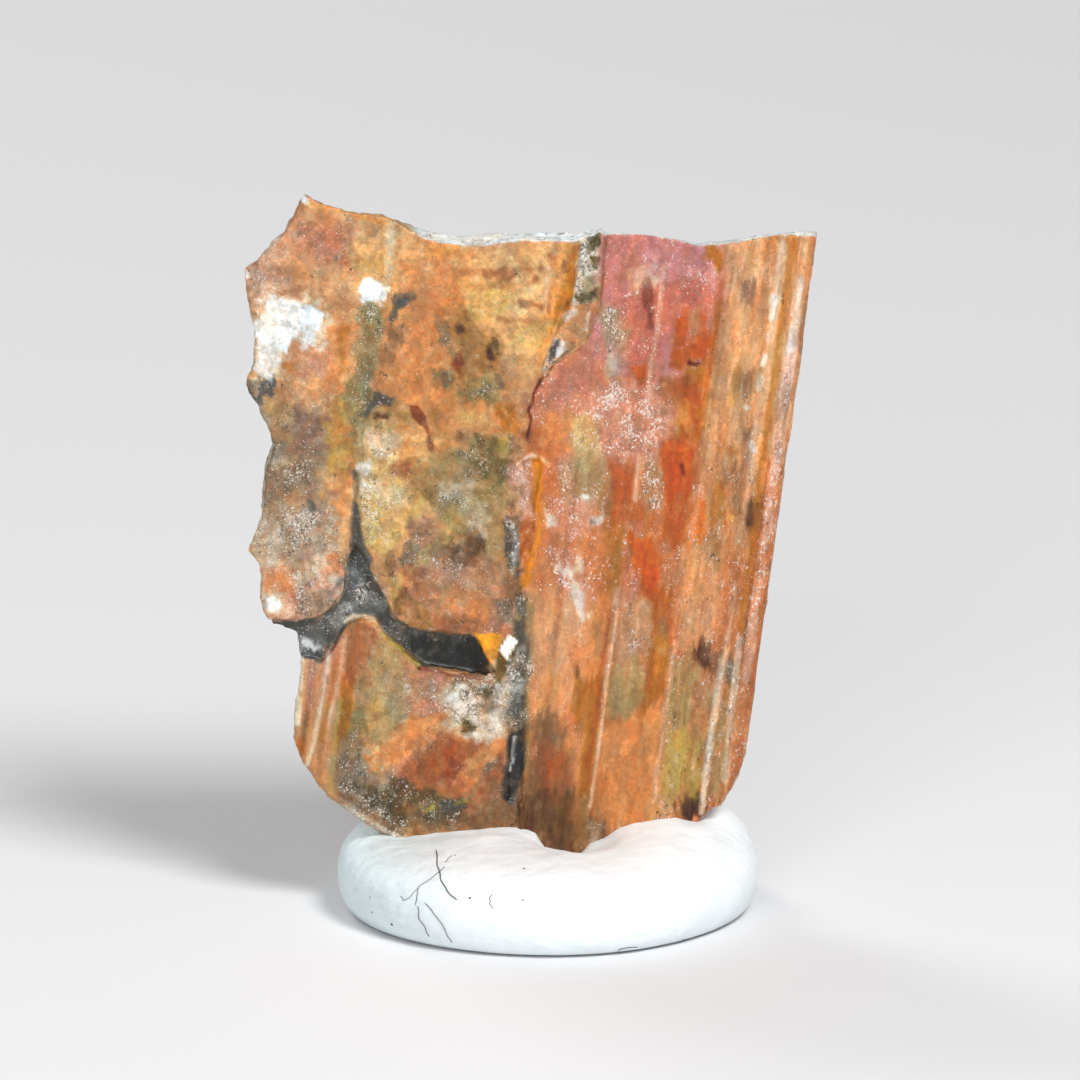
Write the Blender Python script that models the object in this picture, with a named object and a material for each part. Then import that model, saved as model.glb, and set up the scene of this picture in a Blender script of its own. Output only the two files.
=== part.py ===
"""Brookite crystal: a thin broken plate with long striations, held upright in a squashed pad of mounting putty.

Lengths below are in millimetres. The crystal is modelled in its own frame, across (X) by along (Z, the direction of
its striations), with its front face towards -Y, and is then leaned over as one piece.
"""

import math
import random

import bmesh
import bpy
from mathutils import Matrix, Vector

MM = 0.001
COLLECTION = "Brookite crystal"

# The crystal.
LEAN = math.radians(7.5)
FRONT = -0.45
BACK = 0.43
RIGHT_EDGE = 4.35
FRACTURE_LAYERS = ((0.28, 0.02), (0.62, 0.05))  # share of the thickness, roughness of the broken side there
CUT_CLEARANCE = 0.6  # how far a cutter reaches out of the stone
STONE_REACH = (-9.2, 5.2)  # across, beyond both edges
STONE_LENGTH = (-0.5, 17.5)  # along, beyond both ends

# The putty pad.
PAD_CENTRE = 0.40
PAD_WIDTH = 9.55
PAD_DEPTH = 9.95
PAD_STEPS = 60
SLOT_GAP = 0.03

# Outline of the stone, clockwise from the tip at the top left: across, along, how far the front edge sits in from it
# and how far the back edge does.
TOP_EDGE = (
    (-7.20, 15.80, 0.00, 0.22), (-6.80, 15.65, 0.00, 0.26), (-6.25, 15.56, 0.00, 0.26), (-5.80, 15.55, 0.00, 0.27),
    (-5.40, 15.53, 0.00, 0.20), (-5.00, 15.45, 0.00, 0.15), (-4.70, 15.29, 0.00, 0.05), (-4.40, 15.15, 0.00, 0.00),
    (-4.05, 15.10, 0.00, -0.02), (-3.60, 15.10, 0.00, -0.04), (-3.15, 15.13, 0.00, -0.09), (-2.70, 15.25, 0.00, -0.07),
    (-2.25, 15.36, 0.00, -0.02), (-1.65, 15.45, 0.00, -0.02), (-1.05, 15.50, 0.00, -0.04), (-0.88, 15.58, 0.00, 0.00),
    (-0.62, 15.66, 0.00, 0.02), (-0.48, 15.82, 0.00, 0.10), (-0.38, 15.78, 0.00, 0.18), (0.00, 15.84, 0.00, 0.22),
    (0.45, 15.90, 0.00, 0.24), (0.90, 15.90, 0.00, 0.24), (1.30, 15.88, 0.00, 0.20), (1.75, 15.80, 0.00, 0.12),
    (2.20, 15.90, 0.00, 0.12), (2.65, 16.00, 0.00, 0.12), (3.00, 16.12, 0.00, 0.15), (3.25, 16.24, 0.00, 0.22),
    (3.75, 16.34, 0.00, 0.25),
)
RIGHT_SIDE = ((RIGHT_EDGE, 16.34, 0.00, 0.18), (RIGHT_EDGE, 10.40, 0.02, 0.10), (RIGHT_EDGE, 4.45, 0.02, 0.12))
TIP = (
    (4.34, 4.00, 0.05, 0.16), (4.24, 3.60, 0.08, 0.20), (4.05, 3.10, 0.10, 0.22), (3.50, 2.50, 0.10, 0.25),
    (2.45, 1.40, 0.12, 0.25), (0.55, 0.88, 0.12, 0.20), (-1.70, 0.64, 0.12, 0.20), (-3.30, 1.20, 0.12, 0.24),
    (-3.90, 1.46, 0.11, 0.24), (-4.48, 1.75, 0.10, 0.22), (-4.84, 1.98, 0.08, 0.20), (-5.15, 2.28, 0.05, 0.18),
    (-5.54, 2.74, 0.03, 0.15), (-5.76, 3.16, 0.03, 0.12),
)
LEFT_SIDE = (
    (-5.90, 4.05, 0.03, 0.10), (-5.84, 4.42, 0.02, 0.08), (-5.88, 5.10, 0.02, 0.06), (-6.02, 5.66, 0.00, 0.06),
    (-6.38, 5.70, 0.00, 0.16), (-6.64, 5.74, 0.00, 0.20), (-6.86, 6.10, 0.00, 0.12), (-7.00, 6.40, 0.02, 0.08),
    (-7.05, 6.85, 0.05, 0.05), (-7.14, 7.12, 0.06, 0.10), (-7.42, 7.46, 0.00, 0.24), (-7.32, 7.86, 0.00, 0.22),
    (-7.23, 8.20, 0.06, 0.12), (-7.24, 8.66, 0.08, 0.05), (-7.28, 9.25, 0.05, 0.08), (-7.20, 9.62, 0.08, 0.03),
    (-7.20, 9.95, 0.08, 0.05), (-7.32, 10.25, 0.04, 0.12), (-7.58, 10.76, 0.00, 0.20), (-7.80, 11.02, 0.00, 0.22),
    (-7.96, 11.26, 0.00, 0.24), (-7.92, 11.48, 0.02, 0.16), (-7.86, 11.82, 0.06, 0.08), (-7.90, 12.22, 0.06, 0.08),
    (-7.92, 12.52, 0.04, 0.12), (-8.06, 12.80, 0.03, 0.14), (-8.18, 13.20, 0.02, 0.18), (-8.30, 13.62, 0.00, 0.26),
    (-8.35, 13.90, 0.00, 0.30), (-8.05, 14.20, 0.02, 0.18), (-7.82, 14.50, 0.04, 0.12), (-7.58, 14.80, 0.03, 0.14),
    (-7.44, 15.12, 0.03, 0.12), (-7.36, 15.38, 0.02, 0.14),
)
OUTLINE = TOP_EDGE + RIGHT_SIDE + TIP + LEFT_SIDE
BROKEN_EDGES = (len(TOP_EDGE), len(TOP_EDGE) + len(RIGHT_SIDE) + len(TIP))  # before the first and from the second

# Cross-sections of the striated faces: across, and depth below the front plane. They run the length of the stone.
RIGHT_PLATE_SECTION = (
    (-1.90, 0.10), (-1.05, 0.08), (-0.95, 0.12), (-0.30, 0.11), (-0.22, 0.07), (0.20, 0.06), (0.26, 0.10),
    (0.62, 0.10), (0.96, 0.04), (1.06, 0.04), (1.13, 0.13), (1.50, 0.09), (1.56, 0.12), (1.88, 0.10), (1.95, 0.06),
    (2.30, 0.05), (2.37, 0.14), (2.46, 0.05), (2.55, 0.10), (2.88, 0.10), (2.94, 0.14), (3.28, 0.12), (3.36, 0.08),
    (3.50, 0.04), (3.60, 0.03), (3.67, 0.12), (3.93, 0.12), (4.00, 0.03), (4.08, 0.10), (4.15, 0.05), (4.22, 0.13),
    (4.70, 0.28),
)
LOWER_PLATE_SECTION = (
    (-6.60, 0.44), (-6.00, 0.32), (-5.78, 0.16), (-5.66, 0.19), (-5.48, 0.10), (-5.40, 0.15), (-5.12, 0.06),
    (-5.04, 0.11), (-4.80, 0.09), (-4.72, 0.05), (-4.30, 0.06), (-4.24, 0.09), (-3.60, 0.07), (-3.52, 0.10),
    (-2.60, 0.08), (-2.54, 0.11), (-1.60, 0.09), (-1.52, 0.12), (-0.10, 0.12),
)
UPPER_PLATE_SECTION = (
    (-9.20, 0.24), (-8.20, 0.12), (-7.90, 0.08), (-7.55, 0.10), (-7.30, 0.06), (-6.80, 0.07), (-6.74, 0.05),
    (-6.20, 0.06), (-5.75, 0.03), (-5.68, 0.06), (-5.22, 0.05), (-5.14, 0.01), (-4.60, 0.00), (-4.52, 0.025),
    (-4.00, 0.015), (-3.60, 0.03), (-3.52, 0.005), (-2.80, 0.00), (-2.70, 0.03), (-2.10, 0.02), (-2.02, 0.00),
    (-1.30, 0.01), (-1.22, 0.03), (-0.90, 0.02), (-0.80, 0.00), (5.20, 0.00),
)
BACK_STRIAE = (23, 0.26, 0.07)  # seed, usual spacing, relief

# Areas of the front that lie below the front plane: across, along.
RIGHT_PLATE = (
    (-0.45, 18.00), (-0.36, 15.20), (-0.30, 14.40), (-0.42, 13.85), (-0.46, 13.36), (-0.75, 13.00), (-1.12, 12.66),
    (-1.40, 12.28), (-1.52, 11.90), (-1.60, 11.48), (-1.46, 11.28), (-1.52, 10.95), (-1.56, 10.60), (-1.50, 9.90),
    (-1.38, 9.00), (-1.30, 8.05), (-1.15, 7.10), (-1.08, 6.20), (-0.90, 5.30), (-0.75, 4.40), (-0.58, 3.30),
    (-0.42, 2.10), (-0.20, -1.00), (6.00, -1.00), (6.00, 18.00),
)
LOWER_PLATE = (
    (-7.00, 5.22), (-5.40, 5.15), (-5.15, 5.56), (-5.02, 6.02), (-4.82, 6.22), (-4.35, 6.28), (-4.08, 5.98),
    (-3.56, 5.62), (-3.16, 5.36), (-2.15, 5.28), (-1.42, 5.24), (-0.80, 5.24), (-0.70, 4.40), (-0.30, -1.00),
    (-7.00, -1.00),
)
TRENCH = (
    (-1.02, 18.00), (-0.91, 15.40), (-0.90, 14.30), (-0.96, 13.85), (-1.12, 13.52), (-1.22, 13.20), (-1.44, 12.22),
    (-1.08, 12.64), (-0.70, 12.99), (-0.40, 13.32), (-0.38, 13.86), (-0.26, 14.40), (-0.32, 15.20), (-0.40, 18.00),
)
TRENCH_CHIP = (
    (-1.00, 14.14), (-0.24, 14.22), (-0.34, 13.86), (-0.42, 13.55), (-0.40, 13.26), (-0.84, 12.96), (-1.16, 13.52),
)
RECESS = (
    (-7.40, 5.86), (-6.10, 6.00), (-5.56, 6.16), (-5.30, 6.46), (-5.12, 6.86), (-5.16, 7.30), (-5.10, 7.64),
    (-5.04, 7.94), (-4.70, 7.60), (-4.54, 7.24), (-4.16, 6.74), (-3.80, 6.26), (-3.30, 6.12), (-2.76, 6.18),
    (-2.00, 6.14), (-1.80, 5.75), (-1.48, 5.40), (-1.50, 5.20), (-2.16, 5.24), (-3.18, 5.30), (-3.58, 5.57),
    (-4.10, 5.94), (-4.36, 6.24), (-4.80, 6.18), (-4.98, 6.00), (-5.11, 5.54), (-5.37, 5.10), (-7.40, 5.16),
)
DARK_GROOVE = ((-1.02, 5.00), (-0.99, 3.60), (-0.84, 2.44), (-0.52, 2.44), (-0.60, 3.60), (-0.74, 4.90))
LIT_STRIP = (
    (-1.46, 10.36), (-1.10, 10.40), (-1.06, 10.10), (-1.12, 9.40), (-1.02, 8.60), (-1.14, 7.90), (-1.36, 7.40),
    (-1.26, 8.20), (-1.30, 9.10),
)
LEFT_CRACK = (
    (-5.76, 13.50), (-5.50, 12.65), (-5.26, 11.75), (-5.28, 10.80), (-5.14, 9.90), (-5.16, 9.00), (-5.00, 8.10),
    (-4.90, 7.20),
)
# Grainy crusts on the front: across and along of the middle, half width, half length, depth below the front plane,
# number of lumps.
CRUSTS = (
    (-1.75, 4.55, 0.62, 0.62, 0.13, 14), (-0.62, 14.75, 0.20, 0.62, 0.28, 6), (-1.28, 8.65, 0.12, 0.75, 0.12, 5),
    (-0.98, 5.70, 0.16, 0.40, 0.12, 4), (-5.02, 6.60, 0.20, 0.55, 0.36, 5), (-5.52, 5.48, 0.14, 0.14, 0.35, 3),
    (-6.95, 12.90, 0.40, 0.50, 0.07, 4),
)
# Areas of the back that lie below the back plane.
BACK_LEDGE = (
    (-9.00, 18.00), (-3.10, 18.00), (-3.30, 14.20), (-3.00, 12.10), (-3.60, 10.60), (-3.45, 8.90), (-4.30, 7.60),
    (-5.10, 6.90), (-9.00, 7.40),
)
BACK_STEP = (
    (1.55, 18.00), (1.50, 11.60), (1.10, 10.20), (1.20, 6.20), (0.60, 4.80), (0.70, -1.00), (6.00, -1.00),
    (6.00, 18.00),
)

# Profile of the pad from the middle of its base to the middle of its top: share of the radius, height.
PAD_PROFILE = (
    (0.00, 0.00), (0.45, 0.00), (0.89, 0.00), (0.94, 0.06), (0.97, 0.20), (0.992, 0.46), (1.00, 0.78), (0.992, 1.06),
    (0.968, 1.30), (0.925, 1.52), (0.86, 1.70), (0.76, 1.83), (0.62, 1.90), (0.45, 1.94), (0.28, 1.95), (0.12, 1.95),
    (0.00, 1.95),
)
# Lumps and hollows of the pad's top: across and back from its centre, radius, height.
PAD_LUMPS = (
    (0.62, -0.90, 0.80, -0.72), (0.20, -0.60, 0.55, -0.20), (2.70, -0.90, 1.30, 0.16), (-0.90, -0.90, 0.90, 0.05),
    (-3.30, -0.80, 1.10, -0.10), (3.95, 1.00, 1.10, 0.46), (2.20, 2.10, 1.50, 0.12), (-2.40, 2.00, 1.60, 0.10),
    (-0.40, 3.10, 1.20, -0.10), (-3.00, -2.60, 1.20, -0.08), (1.30, -3.10, 1.40, -0.06),
)


def clear_scene():
    for old in list(bpy.data.objects):
        bpy.data.objects.remove(old, do_unlink=True)


def new_collection(name, helpers=False):
    collection = bpy.data.collections.new(name)
    bpy.context.scene.collection.children.link(collection)
    collection.hide_render = helpers
    return collection


def principled(name, colour, roughness):
    material = bpy.data.materials.new(name)
    material.use_nodes = True
    shader = material.node_tree.nodes["Principled BSDF"]
    shader.inputs["Base Color"].default_value = (*colour, 1.0)
    shader.inputs["Roughness"].default_value = roughness
    return material


def object_of(name, shape, collection):
    """A new mesh object that holds this bmesh, in metres."""
    mesh = bpy.data.meshes.new(name)
    bmesh.ops.recalc_face_normals(shape, faces=shape.faces)
    shape.to_mesh(mesh)
    shape.free()
    made = bpy.data.objects.new(name, mesh)
    collection.objects.link(made)
    return made


def as_cutter(cutter):
    cutter.hide_render = True
    cutter.display_type = "WIRE"
    return cutter


def prism(name, outline, low, high, upright):
    """A closed outline made thick. It lies across-along and is thick front to back or, if upright, lies
    across-deep and is thick along the stone."""
    curve = bpy.data.curves.new(name, "CURVE")
    curve.dimensions = "2D"
    curve.fill_mode = "BOTH"
    curve.extrude = (high - low) / 2 * MM
    spline = curve.splines.new("POLY")
    spline.points.add(len(outline) - 1)
    for point, (across, other) in zip(spline.points, outline):
        point.co = (across * MM, other * MM, 0.0, 1.0)
    spline.use_cyclic_u = True
    flat = bpy.data.objects.new(name, curve)
    cutters.objects.link(flat)
    bpy.context.view_layer.update()
    graph = bpy.context.evaluated_depsgraph_get()
    mesh = bpy.data.meshes.new_from_object(flat.evaluated_get(graph))
    bpy.data.objects.remove(flat, do_unlink=True)
    middle = (low + high) / 2 * MM
    if upright:
        mesh.transform(Matrix.Translation((0.0, 0.0, middle)))
    else:
        mesh.transform(Matrix.Translation((0.0, middle, 0.0)) @ Matrix.Rotation(math.pi / 2, 4, "X"))
    shape = bmesh.new()
    shape.from_mesh(mesh)
    bmesh.ops.remove_doubles(shape, verts=shape.verts, dist=1e-7)
    return as_cutter(object_of(name, shape, cutters))


def apply_boolean(target, other, operation):
    step = target.modifiers.new(other.name, "BOOLEAN")
    step.object = other
    step.operation = operation
    step.solver = "EXACT"
    graph = bpy.context.evaluated_depsgraph_get()
    mesh = bpy.data.meshes.new_from_object(target.evaluated_get(graph))
    target.modifiers.clear()
    target.data = mesh
    bpy.data.objects.remove(other, do_unlink=True)


def outward(outline, index):
    """The unit vector that points out of a clockwise outline at this point."""
    before = Vector(outline[index - 1][:2])
    after = Vector(outline[(index + 1) % len(outline)][:2])
    along = (after - before).normalized()
    return Vector((-along.y, along.x))


def blank(name, collection, grow=0.0):
    """The whole stone before its faces are cut: rings of its outline from the front to the back."""
    roughness = random.Random(4)
    thickness = BACK - FRONT
    layers = [(FRONT - grow, [point[2] for point in OUTLINE])]
    for share, rough in FRACTURE_LAYERS:
        insets = []
        for index, (_, _, front_inset, back_inset) in enumerate(OUTLINE):
            broken = index < BROKEN_EDGES[0] or index >= BROKEN_EDGES[1]
            straight = front_inset + (back_inset - front_inset) * share
            insets.append(straight + roughness.uniform(-rough, rough) if broken else 0.0)
        layers.append((FRONT + share * thickness, insets))
    layers.append((BACK + grow, [point[3] for point in OUTLINE]))
    shape = bmesh.new()
    rings = []
    for depth, insets in layers:
        ring = []
        for index, (point, inset) in enumerate(zip(OUTLINE, insets)):
            place = Vector(point[:2]) + outward(OUTLINE, index) * (grow - inset)
            ring.append(shape.verts.new(Vector((place.x, depth, place.y)) * MM))
        rings.append(ring)
    shape.faces.new(rings[0])
    shape.faces.new(rings[-1])
    for ring, behind in zip(rings, rings[1:]):
        for index in range(len(OUTLINE)):
            shape.faces.new((ring[index - 1], ring[index], behind[index], behind[index - 1]))
    bmesh.ops.triangulate(shape, faces=shape.faces)
    return object_of(name, shape, collection)


def striae(seed, spacing, relief):
    """A zigzag cross-section right across the stone: across, depth."""
    steps = random.Random(seed)
    across = STONE_REACH[0]
    section = []
    while across < STONE_REACH[1]:
        section.append((across, steps.uniform(0.0, relief)))
        across += spacing * steps.uniform(0.35, 1.7)
    section.append((STONE_REACH[1], relief / 2))
    return section


def cut_front(stone, name, section, area=None):
    """Takes the stone's front down to a section that runs along it, over the whole stone or over one area."""
    deep = [(across, FRONT + depth) for across, depth in section]
    outside = FRONT - CUT_CLEARANCE
    closed = deep + [(section[-1][0], outside), (section[0][0], outside)]
    cutter = prism(name, closed, *STONE_LENGTH, upright=True)
    if area:
        apply_boolean(cutter, prism(name + " area", area, FRONT - 2 * CUT_CLEARANCE, BACK, upright=False), "INTERSECT")
    apply_boolean(stone, cutter, "DIFFERENCE")


def cut_back(stone, name, section, area=None, extra=0.0):
    deep = [(across, BACK - depth - extra) for across, depth in section]
    outside = BACK + CUT_CLEARANCE
    closed = deep + [(section[-1][0], outside), (section[0][0], outside)]
    cutter = prism(name, closed, *STONE_LENGTH, upright=True)
    if area:
        apply_boolean(cutter, prism(name + " area", area, FRONT, BACK + 2 * CUT_CLEARANCE, upright=False), "INTERSECT")
    apply_boolean(stone, cutter, "DIFFERENCE")


def cut_pocket(stone, name, area, left_depth, right_depth):
    """Sinks one area of the front to a floor that slopes from its left end to its right end."""
    cutter = prism(name, area, FRONT - CUT_CLEARANCE, FRONT + left_depth, upright=False)
    left = min(point[0] for point in area)
    right = max(point[0] for point in area)
    for vertex in cutter.data.vertices:
        if vertex.co.y > FRONT * MM:
            share = (vertex.co.x / MM - left) / (right - left)
            vertex.co.y += (right_depth - left_depth) * share * MM
    apply_boolean(stone, cutter, "DIFFERENCE")


def cut_crack(stone, name, route, radius):
    """A narrow groove along a route on the front."""
    curve = bpy.data.curves.new(name, "CURVE")
    curve.dimensions = "3D"
    curve.bevel_depth = radius * MM
    curve.bevel_resolution = 1
    curve.use_fill_caps = True
    spline = curve.splines.new("POLY")
    spline.points.add(len(route) - 1)
    for point, (across, along) in zip(spline.points, route):
        point.co = (across * MM, FRONT * MM, along * MM, 1.0)
    tube = bpy.data.objects.new(name, curve)
    cutters.objects.link(tube)
    bpy.context.view_layer.update()
    graph = bpy.context.evaluated_depsgraph_get()
    mesh = bpy.data.meshes.new_from_object(tube.evaluated_get(graph))
    bpy.data.objects.remove(tube, do_unlink=True)
    shape = bmesh.new()
    shape.from_mesh(mesh)
    bmesh.ops.remove_doubles(shape, verts=shape.verts, dist=1e-7)
    apply_boolean(stone, as_cutter(object_of(name, shape, cutters)), "DIFFERENCE")


def add_crusts(stone):
    """Flattened lumps of many sizes, half sunk in the face."""
    scatter = random.Random(31)
    for across, along, half_width, half_length, depth, count in CRUSTS:
        for _ in range(count):
            lump = bmesh.new()
            bmesh.ops.create_icosphere(lump, subdivisions=1, radius=scatter.uniform(0.09, 0.20) * MM)
            place = Vector((
                across + scatter.uniform(-half_width, half_width), FRONT + depth,
                along + scatter.uniform(-half_length, half_length),
            ))
            turn = Matrix.Rotation(scatter.uniform(0.0, math.pi), 4, "Y")
            shape = Matrix.Diagonal((1.0, scatter.uniform(0.35, 0.6), scatter.uniform(0.8, 1.3), 1.0))
            bmesh.ops.transform(lump, matrix=Matrix.Translation(place * MM) @ turn @ shape, verts=lump.verts)
            apply_boolean(stone, as_cutter(object_of("lump", lump, cutters)), "UNION")


def make_crystal():
    stone = blank("brookite_crystal", parts)
    cut_front(stone, "upper plate", UPPER_PLATE_SECTION)
    cut_front(stone, "right plate", RIGHT_PLATE_SECTION, RIGHT_PLATE)
    cut_front(stone, "lower plate", LOWER_PLATE_SECTION, LOWER_PLATE)
    cut_pocket(stone, "recess", RECESS, left_depth=0.26, right_depth=0.50)
    cut_pocket(stone, "trench", TRENCH, left_depth=0.30, right_depth=0.24)
    cut_pocket(stone, "trench chip", TRENCH_CHIP, left_depth=0.14, right_depth=0.20)
    cut_pocket(stone, "dark groove", DARK_GROOVE, left_depth=0.24, right_depth=0.20)
    cut_pocket(stone, "lit strip", LIT_STRIP, left_depth=0.14, right_depth=0.17)
    cut_crack(stone, "left crack", LEFT_CRACK, radius=0.07)
    add_crusts(stone)
    cut_back(stone, "back striae", striae(*BACK_STRIAE))
    cut_back(stone, "back ledge", striae(*BACK_STRIAE), BACK_LEDGE, extra=0.12)
    cut_back(stone, "back step", striae(*BACK_STRIAE), BACK_STEP, extra=0.08)
    stone.rotation_euler.y = LEAN
    stone.data.materials.clear()
    stone.data.materials.append(principled("Brookite", (0.42, 0.17, 0.06), 0.35))
    return stone


def pad_top(across, back):
    """How much the lumps and hollows raise the pad's top at this place."""
    rise = 0.0
    for lump_across, lump_back, radius, height in PAD_LUMPS:
        away = math.hypot(across - lump_across, back - lump_back) / radius
        rise += height * math.exp(-away * away)
    return rise


def pad_radius(angle):
    """The pad's outline as a share of its usual radius: a little uneven, as pressed by hand."""
    return 1.0 + 0.012 * math.cos(2 * angle + 0.6) + 0.008 * math.cos(3 * angle - 1.1) + 0.005 * math.cos(5 * angle)


def make_pad():
    shape = bmesh.new()
    profile = [shape.verts.new((share, 0.0, height)) for share, height in PAD_PROFILE]
    edges = [shape.edges.new(pair) for pair in zip(profile, profile[1:])]
    bmesh.ops.spin(
        shape, geom=profile + edges, cent=(0, 0, 0), axis=(0, 0, 1), dvec=(0, 0, 0), angle=2 * math.pi,
        steps=PAD_STEPS, use_merge=True,
    )
    bmesh.ops.remove_doubles(shape, verts=shape.verts, dist=1e-5)
    full_height = PAD_PROFILE[-1][1]
    for vertex in shape.verts:
        share = pad_radius(math.atan2(vertex.co.y, vertex.co.x))
        vertex.co.x *= share * PAD_WIDTH / 2
        vertex.co.y *= share * PAD_DEPTH / 2
        rise = pad_top(vertex.co.x, vertex.co.y)
        vertex.co.z *= 1 + rise / full_height
    for axis, size, centre in ((0, PAD_WIDTH, PAD_CENTRE), (1, PAD_DEPTH, 0.0)):
        low = min(vertex.co[axis] for vertex in shape.verts)
        high = max(vertex.co[axis] for vertex in shape.verts)
        for vertex in shape.verts:
            vertex.co[axis] = centre + (vertex.co[axis] - (low + high) / 2) * size / (high - low)
    bmesh.ops.scale(shape, verts=shape.verts, vec=(MM, MM, MM))
    pad = object_of("mounting_putty", shape, parts)
    slot = as_cutter(blank("slot", cutters, grow=SLOT_GAP))
    slot.data.transform(Matrix.Rotation(LEAN, 4, "Y"))
    apply_boolean(pad, slot, "DIFFERENCE")
    pad.data.materials.clear()
    pad.data.materials.append(principled("Mounting putty", (0.78, 0.84, 0.86), 0.6))
    return pad


clear_scene()
parts = new_collection(COLLECTION)
cutters = new_collection("Cutters", helpers=True)
make_crystal()
make_pad()
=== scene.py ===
"""A brookite crystal plate standing in a pad of mounting putty: surface, marks, materials, lint, studio.

The crystal's marks are named areas and strokes, laid out in picture columns and rows. Each point of the
stone gets its column and row from its place in space, so every mark lies on the stone itself.
"""

import math

import bmesh
import bpy
import numpy as np
from mathutils import Matrix, Vector
from mathutils.bvhtree import BVHTree


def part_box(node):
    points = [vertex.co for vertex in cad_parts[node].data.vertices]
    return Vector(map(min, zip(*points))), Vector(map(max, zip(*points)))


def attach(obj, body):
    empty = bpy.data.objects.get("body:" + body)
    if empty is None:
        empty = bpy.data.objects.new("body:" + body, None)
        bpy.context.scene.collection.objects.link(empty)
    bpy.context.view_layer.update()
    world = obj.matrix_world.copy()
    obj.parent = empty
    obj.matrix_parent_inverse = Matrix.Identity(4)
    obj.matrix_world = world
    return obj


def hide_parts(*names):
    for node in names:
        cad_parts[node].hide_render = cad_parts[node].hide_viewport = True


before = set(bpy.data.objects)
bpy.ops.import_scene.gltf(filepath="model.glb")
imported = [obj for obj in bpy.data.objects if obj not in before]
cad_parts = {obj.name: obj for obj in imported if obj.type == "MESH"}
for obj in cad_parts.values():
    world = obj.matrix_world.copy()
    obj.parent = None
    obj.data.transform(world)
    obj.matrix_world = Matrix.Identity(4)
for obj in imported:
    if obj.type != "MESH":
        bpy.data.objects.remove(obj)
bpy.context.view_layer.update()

MM = 0.001

# How the picture lies on the part: millimetres to a pixel, the column and the row of the frame's origin.
PIXEL = 0.0225
CENTRE_COLUMN = 530.0
GROUND_ROW = 907.0
PICTURE = 1080
ELEVATION = math.radians(14.0)
CAMERA_DISTANCE = 0.9
SENSOR = 36.0

# The light on the front, the share of it that a polished face sends back, and the darkest body colour.
LIGHT = np.array((1.40, 1.34, 1.34))
SHINE = 0.018
DARKEST = 0.006

# The crystal, as in the CAD model: its lean, and where its front face lies, in mm.
LEAN = math.radians(7.5)
FRONT = -0.45


# ------------------------------------------------------------------------------------------------------------
# Noise on arrays of points
# ------------------------------------------------------------------------------------------------------------

CELL_PRIMES = (73856093, 19349663, 83492791)
SEED_PRIME = 2654435761
MIXERS = (2246822519, 3266489917)
WORD = 0xFFFFFFFF
OCTAVE_SHIFT = 17.3  # keeps the finer copies of a noise from lining up with it


def lattice(cells, seed):
    """A repeatable random value from 0 to 1 for each whole-numbered cell."""
    mixed = np.bitwise_xor.reduce(cells * CELL_PRIMES, axis=1) ^ (seed * SEED_PRIME)
    mixed &= WORD
    mixed = (mixed ^ (mixed >> 15)) * MIXERS[0] & WORD
    mixed = (mixed ^ (mixed >> 13)) * MIXERS[1] & WORD
    mixed ^= mixed >> 16
    return mixed / WORD


def noise(points, size, seed):
    """Smooth value noise from -1 to 1. Size is one length, or one for each axis."""
    scaled = points / np.asarray(size, float)
    cell = np.floor(scaled).astype(np.int64)
    part = scaled - cell
    part = part * part * (3 - 2 * part)
    total = np.zeros(len(points))
    for corner in np.ndindex(2, 2, 2):
        weight = np.abs(1 - np.array(corner) - part).prod(1)
        total += weight * lattice(cell + corner, seed)
    return total * 2 - 1


def fractal(points, size, seed, octaves=3, gain=0.55):
    """Noise with finer and weaker copies of itself added."""
    size = np.asarray(size, float)
    total = np.zeros(len(points))
    strength = 1.0
    for octave in range(octaves):
        total += strength * noise(points + OCTAVE_SHIFT * octave, size / 2 ** octave, seed + octave)
        strength *= gain
    return total


def ramp(values, low, high):
    """A smooth rise from 0 at low to 1 at high."""
    part = np.clip((values - low) / (high - low), 0.0, 1.0)
    return part * part * (3 - 2 * part)


# ------------------------------------------------------------------------------------------------------------
# Meshes
# ------------------------------------------------------------------------------------------------------------

KEPT_FINE = -0.3  # a face whose normal points further to the front than this keeps its small quads
BOX_MARGIN = 0.002  # how far the visible model stays inside the CAD box, mm


def with_modifier(mesh, kind, settings, group=()):
    """A new mesh: this one after a modifier, which works on the vertices in the group where one is given."""
    holder = bpy.data.objects.new("holder", mesh)
    bpy.context.scene.collection.objects.link(holder)
    if len(group):
        holder.vertex_groups.new(name="group").add([int(index) for index in group], 1.0, "REPLACE")
    step = holder.modifiers.new("Step", kind)
    for name, value in settings:
        setattr(step, name, value)
    graph = bpy.context.evaluated_depsgraph_get()
    made = bpy.data.meshes.new_from_object(holder.evaluated_get(graph))
    bpy.data.objects.remove(holder)
    return made


def remeshed(mesh, size, triangles):
    """The same surface as even quads of about this size in mm in front, and coarser ones elsewhere."""
    made = with_modifier(mesh, "REMESH", (("mode", "VOXEL"), ("voxel_size", size)))
    now = 2 * len(made.polygons)
    if now <= triangles:
        return made
    elsewhere = np.nonzero(normals_of(made)[:, 1] > KEPT_FINE)[0]
    settings = (("decimate_type", "COLLAPSE"), ("vertex_group", "group"), ("ratio", triangles / now))
    return with_modifier(made, "DECIMATE", settings, elsewhere)


def points_of(mesh):
    flat = np.empty(len(mesh.vertices) * 3)
    mesh.vertices.foreach_get("co", flat)
    return flat.reshape(-1, 3)


def normals_of(mesh):
    flat = np.empty(len(mesh.vertices) * 3, np.float32)
    mesh.vertex_normals.foreach_get("vector", flat)
    return flat.reshape(-1, 3).astype(float)


def put_points(mesh, points):
    mesh.vertices.foreach_set("co", points.astype(np.float32).ravel())
    mesh.update()


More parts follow.
